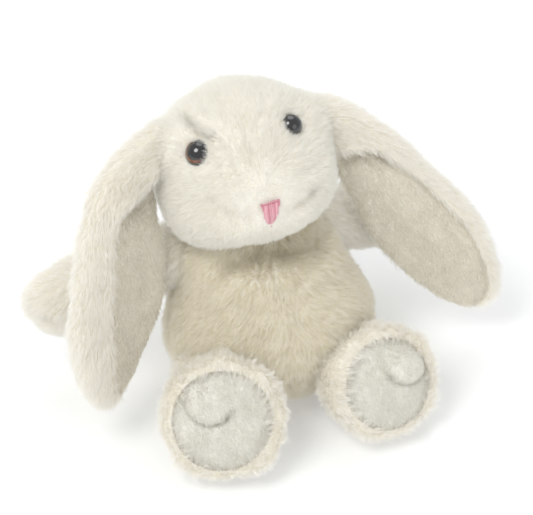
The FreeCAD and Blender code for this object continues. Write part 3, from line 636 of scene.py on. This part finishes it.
def dome(name, centre, axis, r, h):
    R = (r * r + h * h) / (2 * h)
    x = unit(np.cross(axis, A(0.1, 0.2, 1))); y = np.cross(axis, x)
    rings, seg = 26, 72
    prof = [(rr, math.sqrt(max(R * R - rr * rr, 0)) - (R - h)) for rr in [r * math.sin(math.pi / 2 * i / (rings - 4)) for i in range(1, rings - 3)]]
    prof += [(r * 0.995, -0.35), (r * 0.93, -0.7), (r * 0.5, -0.8)]
    co, fc = [centre + axis * h], []
    for pr, pz in prof:
        for k in range(seg):
            t = 2 * math.pi * k / seg
            co.append(centre + x * (pr * math.cos(t)) + y * (pr * math.sin(t)) + axis * pz)
    co.append(centre - axis * 0.8)
    for k in range(seg):
        fc.append([0, 1 + k, 1 + (k + 1) % seg])
        for i in range(len(prof) - 1):
            a, b = 1 + i * seg, 1 + (i + 1) * seg
            fc.append([a + k, b + k, b + (k + 1) % seg, a + (k + 1) % seg])
        a = 1 + (len(prof) - 1) * seg
        fc.append([a + k, len(co) - 1, a + (k + 1) % seg])
    return np.array(co), fc

for s in ("left", "right"):
    base = head_w(EYE_L[s] - EYE_N[s] * (1.2 if s == "right" else 2.3)); ax = HEAD_M @ EYE_N[s]
    ec, ef = dome("eye", base, ax, 5.15 if s == "right" else 4.6, 3.7)
    # direction of the painted glow in the eyes: lower left in the view
    painted_glow = unit(-VIEW_R * 0.92 - VIEW_U * 0.40)
    eye = make_mesh("eye_%s_dome" % s, ec, ef, [eye_material("eye_%s_gloss" % s, base, ax, painted_glow, -0.4 if s == "right" else 2.6)])
    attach(eye, "head")
    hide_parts(*(("eye_left",) if s == "left" else ("eye_right", "eye_pupils")))

# ------------------------------------------------------------------ nose and mouth stitches
def thread_mat(name, dark, light):
    m, nt = new_mat(name)
    tc = node(nt, "ShaderNodeTexCoord")
    wv = node(nt, "ShaderNodeTexWave", Scale=900.0, Distortion=2.5, Detail=2.0); wv.wave_type = "BANDS"; wv.bands_direction = "DIAGONAL"
    ns = node(nt, "ShaderNodeTexNoise", Scale=700.0, Detail=4.0)
    for n in (wv, ns):
        nt.links.new(tc.outputs["Object"], n.inputs["Vector"])
    mx = node(nt, "ShaderNodeMath", operation="MULTIPLY_ADD"); mx.inputs[1].default_value = 0.5
    nt.links.new(wv.outputs["Fac"], mx.inputs[0])
    h = node(nt, "ShaderNodeMath", operation="MULTIPLY"); h.inputs[1].default_value = 0.5
    nt.links.new(ns.outputs["Fac"], h.inputs[0]); nt.links.new(h.outputs[0], mx.inputs[2])
    col = ramp(nt, mx.outputs[0], [(0.2, dark), (0.75, light)])
    bs = node(nt, "ShaderNodeBsdfPrincipled", Roughness=0.42); nt.links.new(col, bs.inputs["Base Color"])
    rr = node(nt, "ShaderNodeMapRange"); rr.inputs["To Min"].default_value = 0.32; rr.inputs["To Max"].default_value = 0.55
    nt.links.new(ns.outputs["Fac"], rr.inputs["Value"]); nt.links.new(rr.outputs[0], bs.inputs["Roughness"])
    bs.inputs["Anisotropic"].default_value = 0.5
    bs.inputs["Sheen Weight"].default_value = 0.35
    bp = node(nt, "ShaderNodeBump", Strength=0.5, Distance=0.0001); nt.links.new(wv.outputs["Fac"], bp.inputs["Height"])
    nt.links.new(bp.outputs[0], bs.inputs["Normal"])
    out = node(nt, "ShaderNodeOutputMaterial"); nt.links.new(bs.outputs[0], out.inputs["Surface"])
    return m
PINK = thread_mat("pink_satin_thread", (0.66, 0.24, 0.30), (0.88, 0.49, 0.54))
PINK_D = thread_mat("pink_satin_thread_deep", (0.56, 0.18, 0.24), (0.78, 0.37, 0.43))
PINK_L = thread_mat("pink_satin_thread_light", (0.74, 0.32, 0.38), (0.93, 0.60, 0.64))

def tube(points, rad, seg=8):
    """Closed round tube through points (mm); rad is one number or one per point."""
    pts = np.asarray(points, float); n = len(pts)
    rad = np.full(n, rad) if np.isscalar(rad) else np.asarray(rad)
    tan = unit(np.gradient(pts, axis=0)); ref = unit(np.cross(tan[0], A(0.3, 0.7, 0.2)))
    co, fc = [], []
    for i in range(n):
        ref = unit(ref - tan[i] * (ref @ tan[i])); bi = np.cross(tan[i], ref)
        for k in range(seg):
            t = 2 * math.pi * k / seg
            co.append(pts[i] + (ref * math.cos(t) + bi * math.sin(t)) * rad[i])
    for i in range(n - 1):
        for k in range(seg):
            fc.append([i * seg + k, i * seg + (k + 1) % seg, (i + 1) * seg + (k + 1) % seg, (i + 1) * seg + k])
    fc.append(list(range(seg))[::-1]); fc.append([(n - 1) * seg + k for k in range(seg)])
    return np.array(co), fc

def join(parts):
    co, fc, o = [], [], 0
    for c, f in parts:
        co.append(c); fc += [[i + o for i in q] for q in f]; o += len(c)
    return np.concatenate(co), fc

def face_pt(u, v, lift):
    """A point on the face over the nose, u across and v up, in the head's own frame."""
    l = on_head(head_w(NOSE + A(u, 0, v)))
    n = unit(l - A(0, -8.0, -9.0))
    return head_w(l + n * lift)
threads, tints = [], []
gen = np.random.default_rng(5)
n_th = 12
for i in range(n_th):
    u = -3.45 + 6.9 * i / (n_th - 1)
    top = 4.2 + 0.35 * gen.random() + 0.25 * (1 - abs(u) / 4)
    vs = np.linspace(-5.9, 4.4, 60)
    ok = vs[nose_half(vs) >= abs(u) - 0.02]
    bot = (ok.min() if len(ok) else 0.0) - 0.35 * gen.random()
    t = np.linspace(0, 1, 13)
    vv = top + (bot - top) * t
    uu = u * (1 - 0.16 * t) - 1.3 * np.clip((4.3 - vv) / 10.0, 0, 1) + 0.12 * np.sin(t * 3 + i)
    lift = -0.35 + 1.45 * np.sin(np.clip(t * 0.96 + 0.02, 0, 1) * math.pi) ** 0.45 * (1 - 0.18 * (u / 4) ** 2) + 0.12 * gen.normal()
    pts = [face_pt(a, b, c) for a, b, c in zip(uu, vv, lift)]
    c_, f_ = tube(pts, 0.37 + 0.05 * gen.random(), 10)
    threads.append((c_, f_)); tints += [(1, 0, 2, 0, 1, 0, 2, 0, 1, 2, 0, 1)[i]] * len(f_)
# a border stitch across the top
top = [face_pt(u, 4.3 + 0.25 * (1 - (u / 4) ** 2), 0.35 + 0.5 * (1 - (u / 4.3) ** 2)) for u in np.linspace(-3.6, 3.6, 11)]
c_, f_ = tube(top, 0.32, 10)
threads.append((c_, f_)); tints += [1] * len(f_)
nc, nf = join(threads)
nose = make_mesh("nose_satin_stitch", nc, nf, [PINK, PINK_D, PINK_L], tints)
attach(nose, "head"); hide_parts("nose_embroidery")
mth = [tube([face_pt(-1.3 + 0.1 * math.sin(t * 9), -5.7 - 2.6 * t, 0.45 * math.sin(t * math.pi)) for t in np.linspace(0, 1, 7)], 0.26, 8),
       tube([face_pt(-1.8 - 0.5 * t, -5.0 - 1.8 * t, 0.3 * math.sin(t * math.pi)) for t in np.linspace(0, 1, 6)], 0.2, 8)]
mc, mf = join(mth)
mouth = make_mesh("mouth_anchor_stitch", mc, mf, [PINK])
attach(mouth, "head"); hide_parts("mouth_stitch")

# ------------------------------------------------------------------ ears
def spline(points, n):
    """Even points and tangents along a smooth curve."""
    P = np.asarray(points, float)
    P = np.concatenate([[2 * P[0] - P[1]], P, [2 * P[-1] - P[-2]]])
    out = []
    for i in range(1, len(P) - 2):
        p0, p1, p2, p3 = P[i - 1], P[i], P[i + 1], P[i + 2]
        for t in np.linspace(0, 1, 60, endpoint=False):
            out.append(0.5 * ((2 * p1) + (-p0 + p2) * t + (2 * p0 - 5 * p1 + 4 * p2 - p3) * t * t + (-p0 + 3 * p1 - 3 * p2 + p3) * t ** 3))
    out.append(P[-2]); out = np.array(out)
    L = np.concatenate([[0], np.cumsum(np.linalg.norm(np.diff(out, axis=0), axis=1))])
    s = np.linspace(0, L[-1], n)
    pts = np.stack([np.interp(s, L, out[:, k]) for k in range(3)], 1)
    return pts, unit(np.gradient(pts, axis=0)), L[-1]

EAR_INFO = {}
def build_ear(side):
    line = np.array(EAR_LINE[side])
    ns, nth = ((168, 132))
    pts, tan, L = spline(line[:, :3], ns)
    ctrl = np.array([np.argmin(((pts - q[:3]) ** 2).sum(1)) / (ns - 1.0) for q in line]); ctrl[0], ctrl[-1] = 0.0, 1.0
    s = np.linspace(0, 1, ns)
    sg = 1.0 if side == "right" else -1.0     # +1: u points to the outer edge
    hw = np.interp(s, ctrl, line[:, 3])
    for _ in range(3):
        hw[1:-1] = (hw[:-2] + 2 * hw[1:-1] + hw[2:]) / 4
    tb = np.interp(s, [0, .1, .2, .35, .6, .85, 1.0], [4.6, 5.6, 5.8, 6.0, 6.2, 5.2, 3.0])
    tl = np.interp(s, [0, .1, .2, .35, .6, .85, 1.0], [4.0, 5.0, 4.6, 3.0, 3.0, 2.8, 2.0])     # front, over the lining
    tp = np.interp(s, [0, .1, .2, .35, .6, .85, 1.0], [4.0, 5.2, 5.6, 5.4, 4.6, 3.8, 2.2])     # front, over the pile
    tip = np.clip((s - 0.93) / 0.07, 0, 1); endf = np.sqrt(np.clip(1 - tip ** 2, 0, 1)) * 0.97 + 0.03
    rt = np.clip((0.05 - s) / 0.05, 0, 1); endf = endf * (np.sqrt(np.clip(1 - rt ** 2, 0, 1)) * 0.97 + 0.03)
    tb, tl, tp = tb * endf, tl * endf, tp * endf
    tipw = np.clip((s - 0.975) / 0.025, 0, 1); hw = hw * (np.sqrt(np.clip(1 - tipw ** 2, 0, 1)) * 0.9 + 0.1)
    N0 = EAR_NORMAL[side]
    edge = np.array(EAR_EDGE[side])
    b_of = lambda sv: np.interp(sv, edge[:, 0], edge[:, 1], left=-1.3, right=-1.3)
    edge_mm = [A(b * np.interp(v, s, hw), v * L, 0) for v, b in edge if -1.01 <= b]
    fold_end = 0.44 if side == "right" else 0.42
    NN, UU = [], []
    co, X, S, FR = [], [], [], []
    th = 2 * math.pi * np.arange(nth) / nth
    th = th + 0.22 * np.sin(2 * th)                 # more points over the flats than round the edges
    cx, cy = np.cos(th), np.sin(th)
    for i in range(ns):
        n = unit(N0 - tan[i] * (N0 @ tan[i])); u = np.cross(tan[i], n) * sg      # u to the outer edge
        NN.append(n); UU.append(u)
        for k in range(nth):
            co.append(pts[i] + u * (hw[i] * cx[k])); X.append(cx[k]); S.append(s[i]); FR.append(cy[k])
    co = np.array(co); X, S, FR = np.array(X), np.array(S), np.array(FR)
    nrow = np.repeat(np.array(NN), nth, 0)
    HW = hw.repeat(nth)
    dd, _ = seg_dist(np.stack([X * HW, S * L, np.zeros(len(X))], 1), edge_mm)
    g = np.where(X < b_of(S), dd, -dd)                                            # + on the lining, - on the pile, mm
    w = np.clip(0.5 + g / 3.0, 0, 1); w = w * w * (3 - 2 * w)
    tfv = tp.repeat(nth) * (1 - w) + tl.repeat(nth) * w
    amp = np.where(FR > 0, tfv * np.abs(FR) ** 0.8, -tb.repeat(nth) * np.abs(FR) ** 0.75)
    # the fold at the root overhangs a hollow; further down a shallow sewn seam
    fold = np.clip((fold_end - S) / 0.10, 0, 1)
    inside = np.clip((1 - np.abs(X)) * 4, 0, 1) * (FR > 0)
    hollow = (1.1 * np.exp(-np.maximum(g, 0) / 2.2) + 5.2 * fold / (1 + np.exp((g - 7.0) / 1.5))) * np.clip(g / 1.1, 0, 1)
    roll = (0.8 + 1.5 * fold) * np.exp(np.minimum(g, 0) / 3.5) * np.clip(-g / 0.8, 0, 1)
    amp = amp + (roll - hollow) * inside
    if side == "left":      # a second small fold that runs out of the hollow
        fd, fa = seg_dist(np.stack([X * HW, S * L, np.zeros(len(X))], 1), [A(1.5, 0.285 * L, 0), A(1.5, 0.345 * L, 0), A(4.0, 0.42 * L, 0)])
        amp = amp + 2.2 * np.exp(-(fd / 1.7) ** 2) * (1 - fa) ** 0.5 * inside
    # a shallow trough down the lining
    amp = amp - 1.1 * np.exp(-((X + 0.45) / 0.30) ** 2) * w * inside * np.clip((S - 0.4) / 0.15, 0, 1) * np.clip((0.97 - S) / 0.1, 0, 1)
    co = co + nrow * amp[:, None]
    fc = []
    for i in range(ns - 1):
        for k in range(nth):
            q = [i * nth + k, (i + 1) * nth + k, (i + 1) * nth + (k + 1) % nth, i * nth + (k + 1) % nth]
            fc.append(q if sg > 0 else q[::-1])
    n0 = len(co)
    co = np.concatenate([co, co[:nth].mean(0)[None], co[-nth:].mean(0)[None] + tan[-1] * 0.4])
    for k in range(nth):
        a_, b_ = k, (k + 1) % nth
        fc.append([n0, a_, b_] if sg > 0 else [n0, b_, a_])
        a_, b_ = (ns - 1) * nth + k, (ns - 1) * nth + (k + 1) % nth
        fc.append([n0 + 1, b_, a_] if sg > 0 else [n0 + 1, a_, b_])
    X = np.append(X, [0, 0]); S = np.append(S, [0, 1]); FR = np.append(FR, [0, 0]); g = np.append(g, [-9, -9])
    nr = vertex_normals(co, fc)
    # make sure the skin faces outwards
    if ((co - co.mean(0)) * nr).sum() < 0:
        fc = [f[::-1] for f in fc]; nr = -nr
    down = unit(np.gradient(pts, axis=0))
    outw = np.array(UU)
    flow_row = down * 0.92 + outw * 0.34
    flow_v = np.concatenate([flow_row.repeat(nth, 0), flow_row[:1], flow_row[-1:]])
    soft = fbm(co, 61 if side == "left" else 62, 14.0, 2) * 0.9 + fbm(co * A(1, 1, 0.6), 63, 6.0, 2) * 0.3
    calm = np.clip(S / 0.1, 0, 1) * np.clip((1.0 - S) / 0.03, 0.1, 1)
    is_lin = (g > 0) & (FR > 0)
    disp = soft * calm + tufts(co, nr, flow_v, 64, 1.0) * np.where(is_lin, 0.10, 0.30) * calm
    co = co + nr * disp[:, None]
    # lining faces: the front, inside the sewn edge and below the fold
    fm = []
    for f in fc:
        fi = list(f)
        fm.append(1 if (FR[fi].mean() > 0.0 and g[fi].mean() > 0 and 0.05 < S[fi].mean() < 0.992) else 0)
    ob = make_mesh("ear_%s_cover" % side, co, fc, [PLUSH, LINING], fm)
    body = "ear_%s" % side
    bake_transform(ob)      # the root stays in the head
    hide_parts("ear_outer_%s" % side, "ear_lining_%s" % side, "ear_wadding_%s" % side)
    def along(p):
        return np.argmin(((p[:, None, :] - pts[None, ::4, :]) ** 2).sum(2), axis=1) * 4
    def comb(p, n):
        return flow_row[along(p)] * 0.95
    def comb_l(p, n):
        return down[along(p)] * 0.9
    def keep(p, n):
        return outside(head_f, depth=-2.5)(p, n)
    fibres("ear_%s_pile" % side, body, ob, 6.2, 3.3, comb, (0, FUR), seed=71 + int(sg), radius=0.042, clump=1.35, clump_pull=0.32, mess=0.22, keep=keep)
    fibres("ear_%s_nap" % side, body, ob, 9.5, 1.3, comb_l, (1, FURL), seed=81 + int(sg), radius=0.055, k=3, clump=1.2, clump_pull=0.5, mess=0.38)
    return ob, pts, tan
for s in ("right", "left"):
    EAR_INFO[s] = build_ear(s)

# ------------------------------------------------------------------ arms
def build_arm(side):
    c, dr = SHOULDER[side], ARM_D[side]
    body = "arm_%s" % side
    a, b = c - dr * 9.0, c + dr * 66.0
    ns, nth = ((130, 110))
    s = 0.5 - 0.5 * np.cos(np.linspace(0, math.pi, ns))
    s = 0.5 * s + 0.5 * np.linspace(0, 1, ns)
    L = 75.0
    z = s * L
    core = np.interp(z, [0, 10, 26, 44, 56, 66, 75], [10.0, 11.0, 11.8, 13.2, 14.0, 13.6, 12.0])
    e0, e1 = np.clip(z / 10.0, 0, 1), np.clip((L - z) / 12.5, 0, 1)
    rad = core * np.sqrt(np.clip(1 - (1 - e0) ** 2, 0, 1)) * np.sqrt(np.clip(1 - (1 - e1) ** 2, 0, 1)) + 0.05
    up = unit(A(0, 0, 1) - dr * dr[2]); fw = np.cross(dr, up)
    co = []
    for i in range(ns):
        m = a + dr * z[i] + up * (-1.2 * math.sin(s[i] * math.pi) + (1.7 if side == "left" else 0.0) * min(z[i] / 40.0, 1.0))
        for k in range(nth):
            t = 2 * math.pi * k / nth
            co.append(m + (up * math.cos(t) * 1.02 + fw * math.sin(t) * 0.98) * rad[i])
    co = np.array(co); fc = []
    for i in range(ns - 1):
        for k in range(nth):
            fc.append([i * nth + k, i * nth + (k + 1) % nth, (i + 1) * nth + (k + 1) % nth, (i + 1) * nth + k])
    fc.append(list(range(nth))[::-1]); fc.append([(ns - 1) * nth + k for k in range(nth)])
    nr = vertex_normals(co, fc)
    if ((co - (a + b) / 2) * nr).sum() < 0:
        fc = [f[::-1] for f in fc]; nr = -nr
    disp = fbm(co, 91, 12.0, 2) * 0.9
    # gathered seam across the end of the paw
    end = b - dr * 0.5
    hz = unit(np.cross(dr, A(0, 0, 1)))
    dd = seg_dist(co, [end - hz * 8.0 - up * 2.0, end - hz * 1.0 - up * 3.6, end + hz * 8.0 - up * 2.0])[0]
    disp = disp - 2.6 * np.exp(-(dd / 2.3) ** 2) - 1.6 * gauss(co, end, 4.0)
    if side == "right":     # this paw is flattened on top
        vu = unit(VIEW_U - dr * (VIEW_U @ dr))
        disp = disp - 4.8 * gauss(co, c + dr * 57.0 + vu * 13.0, 11.0) + 1.5 * gauss(co, c + dr * 64.0 - vu * 1.0, 7.0)
        pc = c + dr * 57.0 - VIEW_R * 2.5 - VIEW_U * 8.6 + VIEW_B * 10.0      # the gathered end seam shows low on the paw
        disp = disp - 3.0 * np.exp(-(seg_dist(co, [pc - VIEW_R * 5.0 + VIEW_U * 1.2, pc, pc + VIEW_R * 5.0 + VIEW_U * 0.4])[0] / 2.3) ** 2)
    disp = disp + tufts(co, nr, np.repeat((dr * 0.8 + A(0, 0, -0.35))[None], len(co), 0), 97, 0.32)
    for zz, am in ((16.0, 0.9), (24.0, 0.5)):
        disp = disp - am * np.exp(-((((co - a) @ dr) - zz - 2.0 * value_noise(co, 95, 8.0)) / 1.7) ** 2)
    co = co + nr * disp[:, None]
    ob = make_mesh("arm_%s_cover" % side, co, fc, [PLUSH])
    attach(ob, body)
    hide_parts("arm_front_%s" % side, "arm_back_%s" % side, "arm_stuffing_%s" % side)
    def comb(p, n):
        return np.repeat((dr * 0.8 + A(0, 0, -0.35))[None], len(p), 0)
    fibres("arm_%s_pile" % side, body, ob, 6.2, 3.5, comb, FUR, seed=101 + int(SIGN[side]), radius=0.043, clump=1.4, clump_pull=0.38, mess=0.24,
           keep=outside(torso_f, depth=-4.0))
for s in ("right", "left"):
    build_arm(s)

# ------------------------------------------------------------------ legs, feet and soles
def build_leg(side):
    heart, n, Rs, prims = LEG[side]
    sole = SOLE_C[side]; body = "leg_%s" % side
    co, fc = star(heart, prims, 3.0, 96)
    # flat under the sole pad, with a soft roll of plush standing round it
    h = (co - sole) @ n
    rad = np.linalg.norm((co - sole) - h[:, None] * n, axis=1)
    rp = PAD_R[side]
    roll = np.clip((rad - rp + 1.0) / 2.4, 0, 1); roll = roll * roll * (3 - 2 * roll)
    lim = -2.6 + 3.4 * roll
    over = h - lim
    soft = np.where(over > 0, over, 0)
    co = co - n * soft[:, None]
    nr = vertex_normals(co, fc)
    e_r = unit(VIEW_R - n * (VIEW_R @ n)); e_u = unit(VIEW_U - n * (VIEW_U @ n) - e_r * ((VIEW_U - n * (VIEW_U @ n)) @ e_r))
    ang = np.arctan2((co - sole) @ e_u, (co - sole) @ e_r)
    ripple = fbm(co, 111 if side == "left" else 112, 7.0, 2) * 1.3 + fbm(co, 113, 15.0, 1) * 1.5
    rimm = np.exp(-((rad - rp - 2.0) / 3.0) ** 2) * np.clip((h + 9) / 9, 0, 1)
    disp = ripple + rimm * (0.8 + 1.1 * value_noise(co, 115, 6.5))
    disp = disp * np.clip((rad - rp) / 2.5, 0, 1) + ripple * np.clip(1 - (rad - rp) / 2.5, 0, 1) * (h < -4)
    out_v = unit((co - sole) - h[:, None] * n + 1e-6)
    disp = disp + tufts(co, nr, out_v * 0.4 + n * 0.6, 116, 0.34) * np.clip((rad - rp - 0.3) / 2, 0, 1) + tufts(co, nr, n + out_v * 0.1, 117, 0.30) * (h < -6)
    co = co + nr * disp[:, None]
    co[:, 2] = np.where(co[:, 2] < 1.2, 0.5 + np.log1p(np.exp((co[:, 2] - 0.5) / 0.7)) * 0.7, co[:, 2])
    ob = make_mesh("leg_%s_cover" % side, co, fc, [PLUSH])
    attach(ob, body)
    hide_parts("leg_outer_%s" % side, "leg_inner_%s" % side, "foot_stuffing_%s" % side)
    def comb(p, nn):
        hh = (p - sole) @ n
        out = (p - sole) - hh[:, None] * n
        out = unit(out)
        near = np.clip((hh + 8) / 8, 0, 1)[:, None]
        wob = np.stack([fbm(p, 118 + k, 6.0) for k in range(3)], 1) * 0.5
        turn = (-0.60 + 0.60 * value_noise(p, 127, 7.0))[:, None]        # the rim pile tips in over the sole here and there
        return out * turn * near + n * (0.55 - 0.35 * near) + A(0, 0, -0.22) * (1 - near) + wob * near
    def keep(p, nn):
        hh = (p - sole) @ n
        r_ = np.linalg.norm((p - sole) - hh[:, None] * n, axis=1)
        return outside(torso_f, depth=-4.5)(p, nn) & ~((r_ < rp - 0.4 - 1.7 * np.clip(0.35 + value_noise(p, 129, 5.0), 0, 1)) & (hh > -5)) & (p[:, 2] > 0.8)
    def ls(p, nn):
        hh = (p - sole) @ n
        low = np.clip((p[:, 2] - 1.0) / 6.0, 0.55, 1)
        tuft = 1.0 + 0.45 * value_noise(p, 119, 4.0)
        return np.where(hh > -6, 0.95 * tuft, 0.90) * low
    fibres("leg_%s_pile" % side, body, ob, 6.6, 3.6, comb, FUR, seed=121 + int(SIGN[side]), radius=0.042, clump=2.0, clump_pull=0.52, mess=0.38,
           keep=keep, len_scale=ls)
    # the sole: a crowned pad with the pinched toe stitched into it
    rings, seg = ((64, 150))
    pc, pf = [], []
    bump_c = A(-5.5, 7.2) if side == "right" else A(6.8, 7.8)
    def top_h(x, y):
        r_ = math.hypot(x, y) / rp
        hgt = 4.6 * max(0.0, 1 - r_ ** 2.6) ** 0.6 - 1.4
        bx, by = x - bump_c[0], y - bump_c[1]
        rot = math.radians(-20 if side == "right" else 12)
        bu, bv = bx * math.cos(rot) + by * math.sin(rot), -bx * math.sin(rot) + by * math.cos(rot)
        q = math.hypot(bu / 7.9, bv / 6.9)
        low = 1 / (1 + math.exp((bv - 0.6) / 1.5))       # the lower side is the sharp one
        hgt += 3.7 * (1 / (1 + math.exp((q - 0.93) * (3.6 + 8 * low)))) * max(0.0, 1 - r_ ** 8)
        hgt -= 1.0 * math.exp(-((q - 1.16) / 0.18) ** 2) * low
        # pinch stitch at one end of the tuck
        px, py = (8.0, -2.6) if side == "right" else (-7.6, -3.4)
        hgt -= 1.2 * math.exp(-(((bu - px) / 1.5) ** 2 + ((bv - py) / 1.5) ** 2))
        return hgt
    base = sole - n * 0.4
    pc.append(base + n * top_h(0, 0))
    pr = [rp * math.sin(math.pi / 2 * (i / rings)) ** 0.9 for i in range(1, rings + 1)]
    for r_ in pr:
        for k in range(seg):
            t = 2 * math.pi * k / seg
            wob = 1 + 0.02 * math.sin(2 * t + 1.9) + 0.016 * math.sin(3 * t + 1) + 0.01 * math.sin(7 * t)
            x, y = r_ * wob * math.cos(t), r_ * wob * math.sin(t)
            pc.append(base + e_r * x + e_u * y + n * top_h(x, y))
    for r_, hh in ((rp - 0.6, -3.1), (rp * 0.6, -3.8)):
        for k in range(seg):
            t = 2 * math.pi * k / seg
            pc.append(base + e_r * (r_ * math.cos(t)) + e_u * (r_ * math.sin(t)) + n * hh)
    pc.append(base - n * 3.9)
    nr_ = rings + 2
    for k in range(seg):
        pf.append([0, 1 + k, 1 + (k + 1) % seg])
        for i in range(nr_ - 1):
            a_, b_ = 1 + i * seg, 1 + (i + 1) * seg
            pf.append([a_ + k, b_ + k, b_ + (k + 1) % seg, a_ + (k + 1) % seg])
        a_ = 1 + (nr_ - 1) * seg
        pf.append([a_ + k, len(pc) - 1, a_ + (k + 1) % seg])
    pc = np.array(pc)
    nr2 = vertex_normals(pc, pf)
    if ((pc - (base - n)) * nr2).sum() < 0:
        pf = [f[::-1] for f in pf]
    pc = pc + n * (fbm(pc, 131, 7.0, 2) * 0.30 + tufts(pc, np.repeat(n[None], len(pc), 0), np.repeat((-e_u)[None], len(pc), 0), 132, 0.07, 1.0, 1.4))[:, None]
    pad = make_mesh("sole_%s_pad" % side, pc, pf, [SOLE])
    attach(pad, body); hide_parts("sole_%s" % side)
    def comb_s(p, nn):
        return np.repeat((-e_u * 0.5 + e_r * 0.2)[None], len(p), 0)
    def keep_s(p, nn):
        return (nn @ n > 0.1)
    fibres("sole_%s_nap" % side, body, pad, 10.0, 1.5, comb_s, FURS, seed=141 + int(SIGN[side]), radius=0.05, k=3, clump=1.0,
           clump_pull=0.35, mess=0.40, keep=keep_s)
for s in ("right", "left"):
    build_leg(s)

# ------------------------------------------------------------------ tail
co, fc = star(TAIL_C, [(TAIL_C, A(12.0, 11.6, 12.0), None)], 2.0, 44)
nr = vertex_normals(co, fc)
co = co + nr * (fbm(co, 151, 8.0, 2) * 0.9 + tufts(co, nr, np.repeat(A(0.1, 0.3, -1.0)[None], len(co), 0), 152, 0.38))[:, None]
tail = make_mesh("tail_cover_skin", co, fc, [PLUSH])
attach(tail, "tail"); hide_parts("tail_cover", "tail_stuffing")
fibres("tail_pile", "tail", tail, 6.0, 6.0, lambda p, n: np.repeat(A(0, 0.25, -0.3)[None], len(p), 0), FUR, seed=161, clump=2.4, clump_pull=0.6, mess=0.45)

# ------------------------------------------------------------------ CAD nodes that stay as they are, with their own materials
def plastic_mat(name, a, b, rough=0.35):
    m, nt = new_mat(name)
    tc = node(nt, "ShaderNodeTexCoord")
    ns = node(nt, "ShaderNodeTexNoise", Scale=600.0, Detail=4.0); nt.links.new(tc.outputs["Object"], ns.inputs["Vector"])
    col = ramp(nt, ns.outputs["Fac"], [(0.3, a), (0.7, b)])
    bs = node(nt, "ShaderNodeBsdfPrincipled", Roughness=rough); nt.links.new(col, bs.inputs["Base Color"])
    rr = node(nt, "ShaderNodeMapRange"); rr.inputs["To Min"].default_value = rough - 0.08; rr.inputs["To Max"].default_value = rough + 0.12
    nt.links.new(ns.outputs["Fac"], rr.inputs["Value"]); nt.links.new(rr.outputs[0], bs.inputs["Roughness"])
    bp = node(nt, "ShaderNodeBump", Strength=0.1, Distance=0.0001); nt.links.new(ns.outputs["Fac"], bp.inputs["Height"])
    nt.links.new(bp.outputs[0], bs.inputs["Normal"])
    out = node(nt, "ShaderNodeOutputMaterial"); nt.links.new(bs.outputs[0], out.inputs["Surface"])
    return m
CREAM_THREAD = thread_mat("cream_sewing_thread", (0.55, 0.50, 0.40), (0.82, 0.77, 0.66))
WASHER = plastic_mat("washer_moulded_plastic", (0.74, 0.74, 0.72), (0.82, 0.82, 0.80))
for name, mat in (("neck_seam_thread", CREAM_THREAD), ("ear_root_threads", CREAM_THREAD), ("eye_washers", WASHER)):
    ob = frame["nodes"][name]
    if len(ob.material_slots) == 0:
        ob.data.materials.append(mat)
    for sl in ob.material_slots:
        sl.material = mat

# ------------------------------------------------------------------ floor, light, camera
fm_, nt = new_mat("pale_floor")
tc = node(nt, "ShaderNodeTexCoord"); ns = node(nt, "ShaderNodeTexNoise", Scale=6.0, Detail=2.0)
nt.links.new(tc.outputs["Object"], ns.inputs["Vector"])
col = ramp(nt, ns.outputs["Fac"], [(0.3, (0.815, 0.82, 0.818)), (0.7, (0.83, 0.835, 0.833))])
bs = node(nt, "ShaderNodeBsdfPrincipled", Roughness=0.9); nt.links.new(col, bs.inputs["Base Color"])
bs.inputs["Specular IOR Level"].default_value = 0.1
bs.inputs["Emission Color"].default_value = (0.97, 0.985, 1.0, 1); bs.inputs["Emission Strength"].default_value = 0.22   # lit paper sweep
out = node(nt, "ShaderNodeOutputMaterial"); nt.links.new(bs.outputs[0], out.inputs["Surface"])
me = bpy.data.meshes.new("floor_sheet")
me.from_pydata([(-6, -6, 0), (6, -6, 0), (6, 6, 0), (-6, 6, 0)], [], [[0, 1, 2, 3]])
me.materials.append(fm_)
floor = bpy.data.objects.new("floor_sheet", me); bpy.context.scene.collection.objects.link(floor)

world = bpy.data.worlds.new("soft_room"); bpy.context.scene.world = world; world.use_nodes = True
bg = world.node_tree.nodes.get("Background") or world.node_tree.nodes.new("ShaderNodeBackground")
bg.inputs[0].default_value = (0.97, 0.985, 1.0, 1); bg.inputs[1].default_value = 0.66

def area(name, at, look, size, power, color=(1, 1, 1)):
    li = bpy.data.lights.new(name, "AREA"); li.shape = "DISK"; li.size = size; li.energy = power; li.color = color
    o = bpy.data.objects.new(name, li); bpy.context.scene.collection.objects.link(o)
    o.location = at
    o.rotation_euler = (Vector(look) - Vector(at)).to_track_quat("-Z", "Y").to_euler()
    return o
area("key_softbox", (-0.62, -0.25, 1.05), (0, 0, 0.06), 0.60, 5.6, (1.0, 0.985, 0.96))
area("top_softbox", (0.25, 0.55, 1.1), (0, 0, 0.06), 0.9, 2.8, (1.0, 1.0, 1.0))
area("front_fill", (0.45, -1.1, 0.55), (0, 0, 0.06), 0.9, 1.6, (1.0, 0.99, 0.98))

cam = bpy.data.cameras.new("camera"); cam.sensor_width = 36.0; cam.lens = 1625.0 / 533.0 * 36.0
cam.clip_start = 0.01
co_ = bpy.data.objects.new("camera", cam); bpy.context.scene.collection.objects.link(co_)
co_.location = Vector((TARGET + VIEW_B * DIST) * MM)
co_.rotation_euler = Vector(-VIEW_B).to_track_quat("-Z", "Y").to_euler()
bpy.context.scene.camera = co_
bpy.context.scene.view_settings.view_transform = "Standard"
